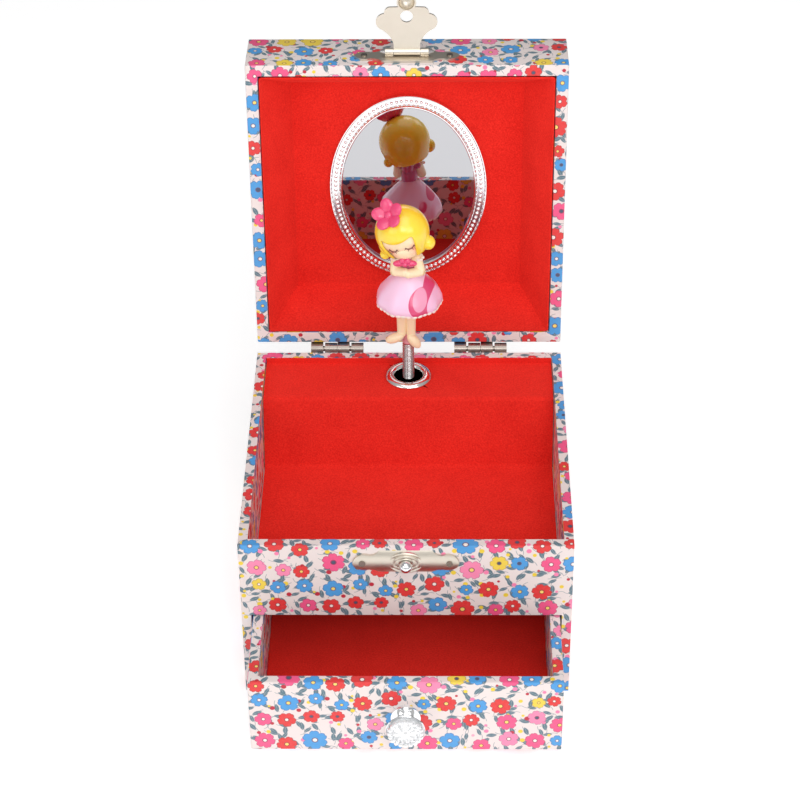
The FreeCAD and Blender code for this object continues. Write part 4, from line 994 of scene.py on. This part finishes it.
# %% Catch rosette and ball
catch_low, catch_high = span("catch_plate")
ROSETTE = Vector((0, catch_low.y + 0.35, (catch_low.z + catch_high.z) / 2))
rosette_profile = [
    (1.4, 0.1), (1.9, 0.45), (2.5, 0.5), (2.8, 0.2), (3.4, 0.2), (3.8, 0.45), (4.4, 0.4),
    (4.6, 0.1), (5.2, 0.1), (5.5, 0.25), (6.0, 0.0), (6.1, -0.7), (1.4, -0.7),
]
bm = lathe(rosette_profile, ROSETTE, (0, -1, 0))
bmesh.ops.translate(bm, vec=-ROSETTE, verts=bm.verts)
bmesh.ops.scale(bm, vec=(1, 1, 0.7), verts=bm.verts)
bmesh.ops.translate(bm, vec=ROSETTE, verts=bm.verts)
piece("catch_rosette", bm, satin_mat, "base", (), 40)
bm = bmesh.new()
ball(bm, (0, span("catch_stud")[0].y + 2.3, ROSETTE.z + 0.1), (2.1, 2.1, 2.1), None, 32, 20)
piece("catch_ball", bm, chrome_mat, "base", ("catch_stud",), 60)

# %% [markdown]
# The doll stands on a closely wound spring, which is what lets it fold when the
# lid shuts and spin when it opens. The coil is a small circle of wire spun about
# the axis while it climbs. It is then taken off its body and left fixed where it
# is drawn. It bends between the base and the doll's end, so its
# points are shared out between the two.

# %% Spring
WIRE = 0.27
COIL = 1.85
spring_low, spring_high = span("doll_spring")
SOCKET = 2.7
tall = spring_high.z + SOCKET - spring_low.z - 2 * WIRE
turns = int(tall / (2 * WIRE))
climb = tall / turns
bm = bmesh.new()
lie = Matrix.Translation((COIL, 0, WIRE)) @ Matrix.Rotation(math.pi / 2, 4, "X")
wire = bmesh.ops.create_circle(bm, segments=6, radius=WIRE, cap_ends=False, matrix=lie)["verts"]
STEPS = 18
bmesh.ops.spin(
    bm, geom=wire + edges_of(wire), cent=(0, 0, 0), axis=(0, 0, 1), dvec=(0, 0, climb / STEPS),
    angle=2 * math.pi * turns, steps=STEPS * turns,
)
bmesh.ops.holes_fill(bm, edges=bm.edges, sides=6)
bmesh.ops.translate(bm, vec=(EYELET.x, EYELET.y, spring_low.z), verts=bm.verts)
coil = piece("coil_spring", bm, steel_mat, "spring", ("doll_spring",), 60)
coil.parent = None
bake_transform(coil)
print(turns, "turns of wire")

# %% [markdown]
# The dancer is a moulded and painted doll. Each colour on it is its own piece,
# made of eggs and tapered limbs that sink into each other, as a moulding's parts
# do. The head is drawn upright about its own centre and then tipped, so the
# fringe, the closed eyes and the cheeks all tip together.

# %% Doll paints


def plastic(name, colour, rough=0.3, coat=0.3):
    made, tree, shader = material(name, Base_Color=colour, Roughness=rough, Coat_Weight=coat)
    shader.inputs["Coat Roughness"].default_value = 0.15
    shader.inputs["Subsurface Weight"].default_value = 0.08
    shader.inputs["Subsurface Scale"].default_value = 0.002
    return made, tree, shader


hair_mat = plastic("hair_yellow", paint(252, 222, 62), 0.24, 0.5)[0]
rose_mat = plastic("rose_pink", paint(232, 72, 122), 0.28, 0.5)[0]
bodice_mat = plastic("mauve_bodice", paint(200, 104, 150))[0]
lace_mat = plastic("lace_cream", paint(250, 236, 226), 0.5, 0.0)[0]
lash_mat = plastic("lash_brown", paint(112, 40, 46), 0.5, 0.0)[0]
freckle_mat = plastic("freckle_pink", paint(214, 120, 104), 0.5, 0.0)[0]
peg_mat = plastic("peg_pink", paint(214, 140, 150), 0.35, 0.1)[0]

HEAD = Vector((-1.75, EYELET.y - 0.4, 123.4))
HEAD_TIP = Matrix.Rotation(math.radians(-17), 3, "Y") @ Matrix.Rotation(math.radians(-7), 3, "Z")


def from_head(x, y, z):
    """Point given from the middle of the upright head, once the head is tipped."""
    return HEAD + HEAD_TIP @ Vector((x, y, z))


def spot(tree, centre, radii):
    """1 at a point of the piece, in mm, fading to 0 at the given half sizes."""
    away = arrow(tree, "SUBTRACT", own_place(tree), tuple(c * MM for c in centre))
    scaled = arrow(tree, "DIVIDE", away, tuple(r * MM for r in radii))
    return calc(tree, "SUBTRACT", 1, arrow(tree, "LENGTH", scaled), clamp=True)


CREAM = paint(246, 224, 186)
skin_mat, tree, shader = plastic("skin_cream", CREAM, 0.36, 0.15)
# The emission is a painted glow, not a lamp: it brightens the skin where the skirt and the turn of the legs leave
# it in shade.
shader.inputs["Emission Color"].default_value = CREAM
shader.inputs["Emission Strength"].default_value = 0.1
cheeks = [spot(tree, from_head(x, -6.2, -4.0), (3.4, 3.4, 3.4)) for x in (-4.6, 4.6)]
blush = calc(tree, "MULTIPLY", calc(tree, "MAXIMUM", *cheeks), 0.8)
tree.links.new(mix(tree, blush, CREAM, paint(240, 150, 130)), shader.inputs["Base Color"])

PALE_PINK = paint(248, 205, 232)
skirt_mat, tree, shader = plastic("skirt_pink", PALE_PINK, 0.3, 0.4)
far_petal = spot(tree, (8.4, 36, 103.6), (6.2, 30, 7.4))
near_petal = spot(tree, (4.6, 33, 99.4), (8.6, 40, 9.4))
dark_area = calc(tree, "MAXIMUM", far_petal, near_petal)
light_oval = spot(tree, (4.3, 32, 100.6), (5.0, 40, 7.0))
pale_oval = spot(tree, (9.9, 36, 97.6), (6.4, 40, 8.4))
printed = PALE_PINK
for area, soft, colour in (
    (dark_area, 0.02, paint(222, 76, 124)),
    (light_oval, 0.05, paint(241, 160, 190)),
    (pale_oval, 0.02, paint(247, 192, 222)),
):
    printed = mix(tree, inside(tree, 0.5, area, soft), printed, colour)
tree.links.new(printed, shader.inputs["Base Color"])
print("paints for the doll")

# %% Doll's head and hair


def limb(bm, start, end, first, last):
    """Tapered limb with round ends."""
    start, end = Vector(start), Vector(end)
    lie = Vector((0, 0, 1)).rotation_difference(end - start).to_matrix().to_4x4()
    middle = Matrix.Translation((start + end) / 2) @ lie
    length = (end - start).length
    bmesh.ops.create_cone(bm, segments=20, radius1=first, radius2=last, depth=length, matrix=middle)
    ball(bm, start, (first, first, first), None, 20, 12)
    ball(bm, end, (last, last, last), None, 20, 12)


bm = bmesh.new()
ball(bm, HEAD, (8.5, 8.1, 8.0), HEAD_TIP, 40, 28)
ball(bm, from_head(0, -3.0, -4.4), (5.2, 4.6, 4.3), HEAD_TIP, 32, 20)
MID_Y = EYELET.y - 0.2
FRONT_Y = EYELET.y - 0.4
limb(bm, (-0.5, EYELET.y, 111.5), from_head(0, 0.4, -6.5), 1.9, 2.2)
for shoulder, elbow, hand in (
    ((3.2, 41.4, 113.2), (4.6, 39.6, 109.0), (0.3, 37.4, 109.4)),
    ((-4.0, 41.6, 112.2), (-4.4, 39.8, 108.9), (-0.9, 37.6, 109.8)),
):
    limb(bm, shoulder, elbow, 1.8, 1.7)
    limb(bm, elbow, hand, 1.7, 1.6)
limb(bm, (-2.2, MID_Y, 98), (-2.3, FRONT_Y, 81.0), 2.1, 1.55)
limb(bm, (0.9, MID_Y, 98), (1.0, FRONT_Y, 80.2), 2.1, 1.6)
for x, z, sizes, splay in (
    (-4.7, 79.8, (3.5, 1.9, 1.75), -24),
    (2.1, 78.5, (3.4, 1.9, 1.8), 52),
):
    toe = Matrix.Rotation(math.radians(splay), 3, "Y")
    ball(bm, (x, EYELET.y - 1.6, z), sizes, toe)
piece("doll_skin", bm, skin_mat, "doll", ("doll_figure",), 60)

HAIR = (9.6, 9.2, 9.5)
COLUMNS = 32
ROWS = 16


def hair_column(point):
    """Columns counted from the middle of the forehead."""
    return math.degrees(math.atan2(point.x, -point.y)) / (360 / COLUMNS)


bm = bmesh.new()
bmesh.ops.create_uvsphere(bm, u_segments=COLUMNS, v_segments=ROWS, radius=1)
bare = []
for face in bm.faces:
    middle = face.calc_center_median().normalized()
    row = math.acos(middle.z) / math.pi * ROWS
    if row > 12.6 or (row > 7 and -4.2 < hair_column(middle) < 3.2):
        bare.append(face)
bmesh.ops.delete(bm, geom=bare, context="FACES")
for vert in bm.verts:
    column = hair_column(vert.co)
    if vert.is_boundary and abs(column) < 3.8 and vert.co.z > 0.1:
        vert.co.z -= 0.17 * max(0, 1 - ((column + 0.8) / 3.2) ** 2)
bmesh.ops.scale(bm, vec=HAIR, verts=bm.verts)
for vert in bm.verts:
    low = max(0, -vert.co.z - 3.5) / 4
    out = Vector((vert.co.x, vert.co.y, 0)).normalized()
    vert.co += out * 1.1 * low * low
bmesh.ops.rotate(bm, cent=(0, 0, 0), matrix=HEAD_TIP, verts=bm.verts)
bmesh.ops.translate(bm, vec=HEAD, verts=bm.verts)
hair = piece("doll_hair", bm, hair_mat, "doll", (), 180)
thicken(hair, 1.0)
rounder = hair.modifiers.new("round", "SUBSURF")
rounder.levels = 2
rounder.render_levels = 2

bm = bmesh.new()
for side, size, out, down in ((-1, 1.8, 8.2, -6.8), (1, 2.6, 7.8, -5.4)):
    ball(bm, from_head(side * out, -1.4, down), (size, size, size), HEAD_TIP)
    ball(bm, from_head(side * 7.3, -1.6, -3.4), (1.9, 2.3, 3.6), HEAD_TIP)
piece("doll_hair_flips", bm, hair_mat, "doll", (), 180)

# %% Doll's face, bow and flower


def arc_line(bm, centre, radius, wire, start, sweep, lie):
    """Thin bent line: a small circle spun part of the way round."""
    at = Matrix.Translation((radius, 0, 0)) @ Matrix.Rotation(math.pi / 2, 4, "X")
    ring = bmesh.ops.create_circle(bm, segments=8, radius=wire, matrix=at)["verts"]
    bmesh.ops.rotate(bm, cent=(0, 0, 0), matrix=Matrix.Rotation(start, 3, "Z"), verts=ring)
    before = set(bm.verts) - set(ring)
    bmesh.ops.spin(bm, geom=ring + edges_of(ring), cent=(0, 0, 0), axis=(0, 0, 1), angle=sweep, steps=10)
    made = [v for v in bm.verts if v not in before]
    ends = list({e for v in made for e in v.link_edges if len(e.link_faces) == 1})
    bmesh.ops.holes_fill(bm, edges=ends, sides=8)
    bmesh.ops.rotate(bm, cent=(0, 0, 0), matrix=lie, verts=made)
    bmesh.ops.translate(bm, vec=centre, verts=made)


def on_face(x, z, lift=0.0):
    """Point on the front of the head's egg, and the way the skin faces there."""
    y = -8.1 * math.sqrt(max(0.05, 1 - (x / 8.5) ** 2 - (z / 8.0) ** 2))
    out = Vector((x / 72.2, y / 65.6, z / 64)).normalized()
    return Vector((x, y, z)) + out * lift, out


LASH_ARC = 1.75
bm = bmesh.new()
for side in (-1, 1):
    at, out = on_face(side * 3.0, -2.3)
    about = Matrix.Rotation(math.atan2(out.x, -out.y), 3, "Z")
    flat = HEAD_TIP @ about @ Matrix.Rotation(math.pi / 2, 3, "X")
    centre = from_head(*(at + Vector((0, 0, 1.0))))
    arc_line(bm, centre, LASH_ARC, 0.17, math.radians(205), math.radians(130), flat)
    for angle in (215, 250, 290, 325):
        a = math.radians(angle)
        root = flat @ Vector((LASH_ARC * math.cos(a), LASH_ARC * math.sin(a), 0))
        limb(bm, centre + root, centre + root * 1.45, 0.14, 0.07)
piece("doll_lashes", bm, lash_mat, "doll", (), 60)

bm = bmesh.new()
for side in (-1, 1):
    for dx, dz in ((0, 0), (0.9, 0.35), (-0.8, 0.3), (0.2, -0.8)):
        at, out = on_face(side * 4.3 + dx, -4.3 + dz, 0.02)
        ball(bm, from_head(*at), (0.24, 0.24, 0.24), None, 8, 6)
piece("doll_freckles", bm, freckle_mat, "doll", (), 60)

BOW = Vector((-0.8, 36.4, 114.4))
bm = bmesh.new()
for side in (-1, 1):
    lie = Matrix.Rotation(math.radians(side * 6), 3, "Y")
    ball(bm, BOW + Vector((side * 2.0, 0.3, -0.2)), (2.2, 1.2, 1.15), lie, 24, 14)
    ball(bm, BOW + Vector((side * 0.9, -0.2, 0.9)), (1.1, 1.0, 1.3), None, 20, 12)
ball(bm, BOW + Vector((0, -0.6, -0.1)), (1.0, 0.9, 0.9), None, 20, 12)

BLOOM = HEAD + Vector((-4.5, -3.0, 8.3))
face_way = (BLOOM - HEAD).normalized()
face_way = (face_way + Vector((0, -0.5, 0))).normalized()
lie = Vector((0, 0, 1)).rotation_difference(face_way).to_matrix()
tilt = Matrix.Rotation(math.radians(-24), 3, "Y")
for petal_number in range(5):
    way = lie @ Matrix.Rotation(petal_number * 2 * math.pi / 5 + 0.3, 3, "Z")
    ball(bm, BLOOM + way @ Vector((3.1, 0, 0.7)), (2.9, 2.4, 1.0), way @ tilt, 24, 14)
ball(bm, BLOOM + lie @ Vector((0, 0, 0.5)), (1.5, 1.5, 1.0), lie, 20, 12)
piece("doll_bow_and_bloom", bm, rose_mat, "doll", (), 60)

# %% [markdown]
# The skirt is a bell spun about the doll's axis. Its radius then swells a little
# nine times round, more towards the hem, which makes soft folds. A ring of small
# cream eggs under the hem is the lace.

# %% Doll's skirt and bodice
FOLDS = 9
SKIRT_X = 0.45
SWELL = 0.022
skirt_profile = [
    (0, 108.4), (2.6, 108.2), (3.9, 107.0), (5.9, 105.0), (7.9, 102.8), (10.5, 99.6), (11.4, 97.3),
    (11.6, 95.9), (11.3, 95.2), (10.4, 95.3), (9.0, 96.2), (5.0, 97.6), (0, 98.0),
]
bm = lathe(skirt_profile, (0, 0, 0), (0, 0, 1), 108)
for vert in bm.verts:
    radius = math.hypot(vert.co.x, vert.co.y)
    if radius > 0.1 and vert.co.z > 95:
        share = min(1, max(0, (108 - vert.co.z) / 12)) * min(1, radius / 9)
        wave = 1 + SWELL * share * math.cos(FOLDS * math.atan2(vert.co.y, vert.co.x))
        vert.co.x *= wave
        vert.co.y *= wave
bmesh.ops.translate(bm, vec=(SKIRT_X, FRONT_Y, 0), verts=bm.verts)
piece("doll_skirt", bm, skirt_mat, "doll", (), 60)

SCALLOPS = 36
bm = bmesh.new()
for step in range(SCALLOPS):
    a = 2 * math.pi * step / SCALLOPS
    reach = 11.15 * (1 + SWELL * math.cos(FOLDS * a))
    at = (SKIRT_X + reach * math.cos(a), FRONT_Y + reach * math.sin(a), 95.3)
    ball(bm, at, (0.5, 1.05, 0.75), Matrix.Rotation(a, 3, "Z"), 10, 8)
for x in (-4.1, 3.9):
    for step in range(7):
        a = 2 * math.pi * step / 7
        at = (x + 1.3 * math.cos(a), 41.0 + 1.1 * math.sin(a), 113.9 + 0.4 * math.sin(a))
        ball(bm, at, (0.7, 0.7, 0.6), None, 10, 8)
piece("doll_lace", bm, lace_mat, "doll", (), 60)

bm = bmesh.new()
ball(bm, (0, MID_Y, 109.4), (3.1, 2.8, 4.2), None, 32, 20)
ball(bm, (-0.6, EYELET.y + 0.5, 113.4), (2.3, 2.1, 3.4))
for side in (-1, 1):
    ball(bm, (side * 3.2 - 0.3, EYELET.y - 0.8, 113.4), (1.5, 1.5, 1.4))
piece("doll_bodice", bm, bodice_mat, "doll", (), 60)

peg_profile = [
    (0, -1.0), (1.0, -1.0), (1.0, SOCKET + 0.1), (2.0, SOCKET + 0.2), (2.1, SOCKET + 0.7),
    (1.5, SOCKET + 1.6), (1.3, 6.5), (0, 6.8),
]
bm = lathe(peg_profile, (0, EYELET.y, spring_high.z), (0, 0, 1), 32)
piece("doll_peg", bm, peg_mat, "doll")
print("doll is", round(2 * HAIR[0], 1), "mm across the hair")
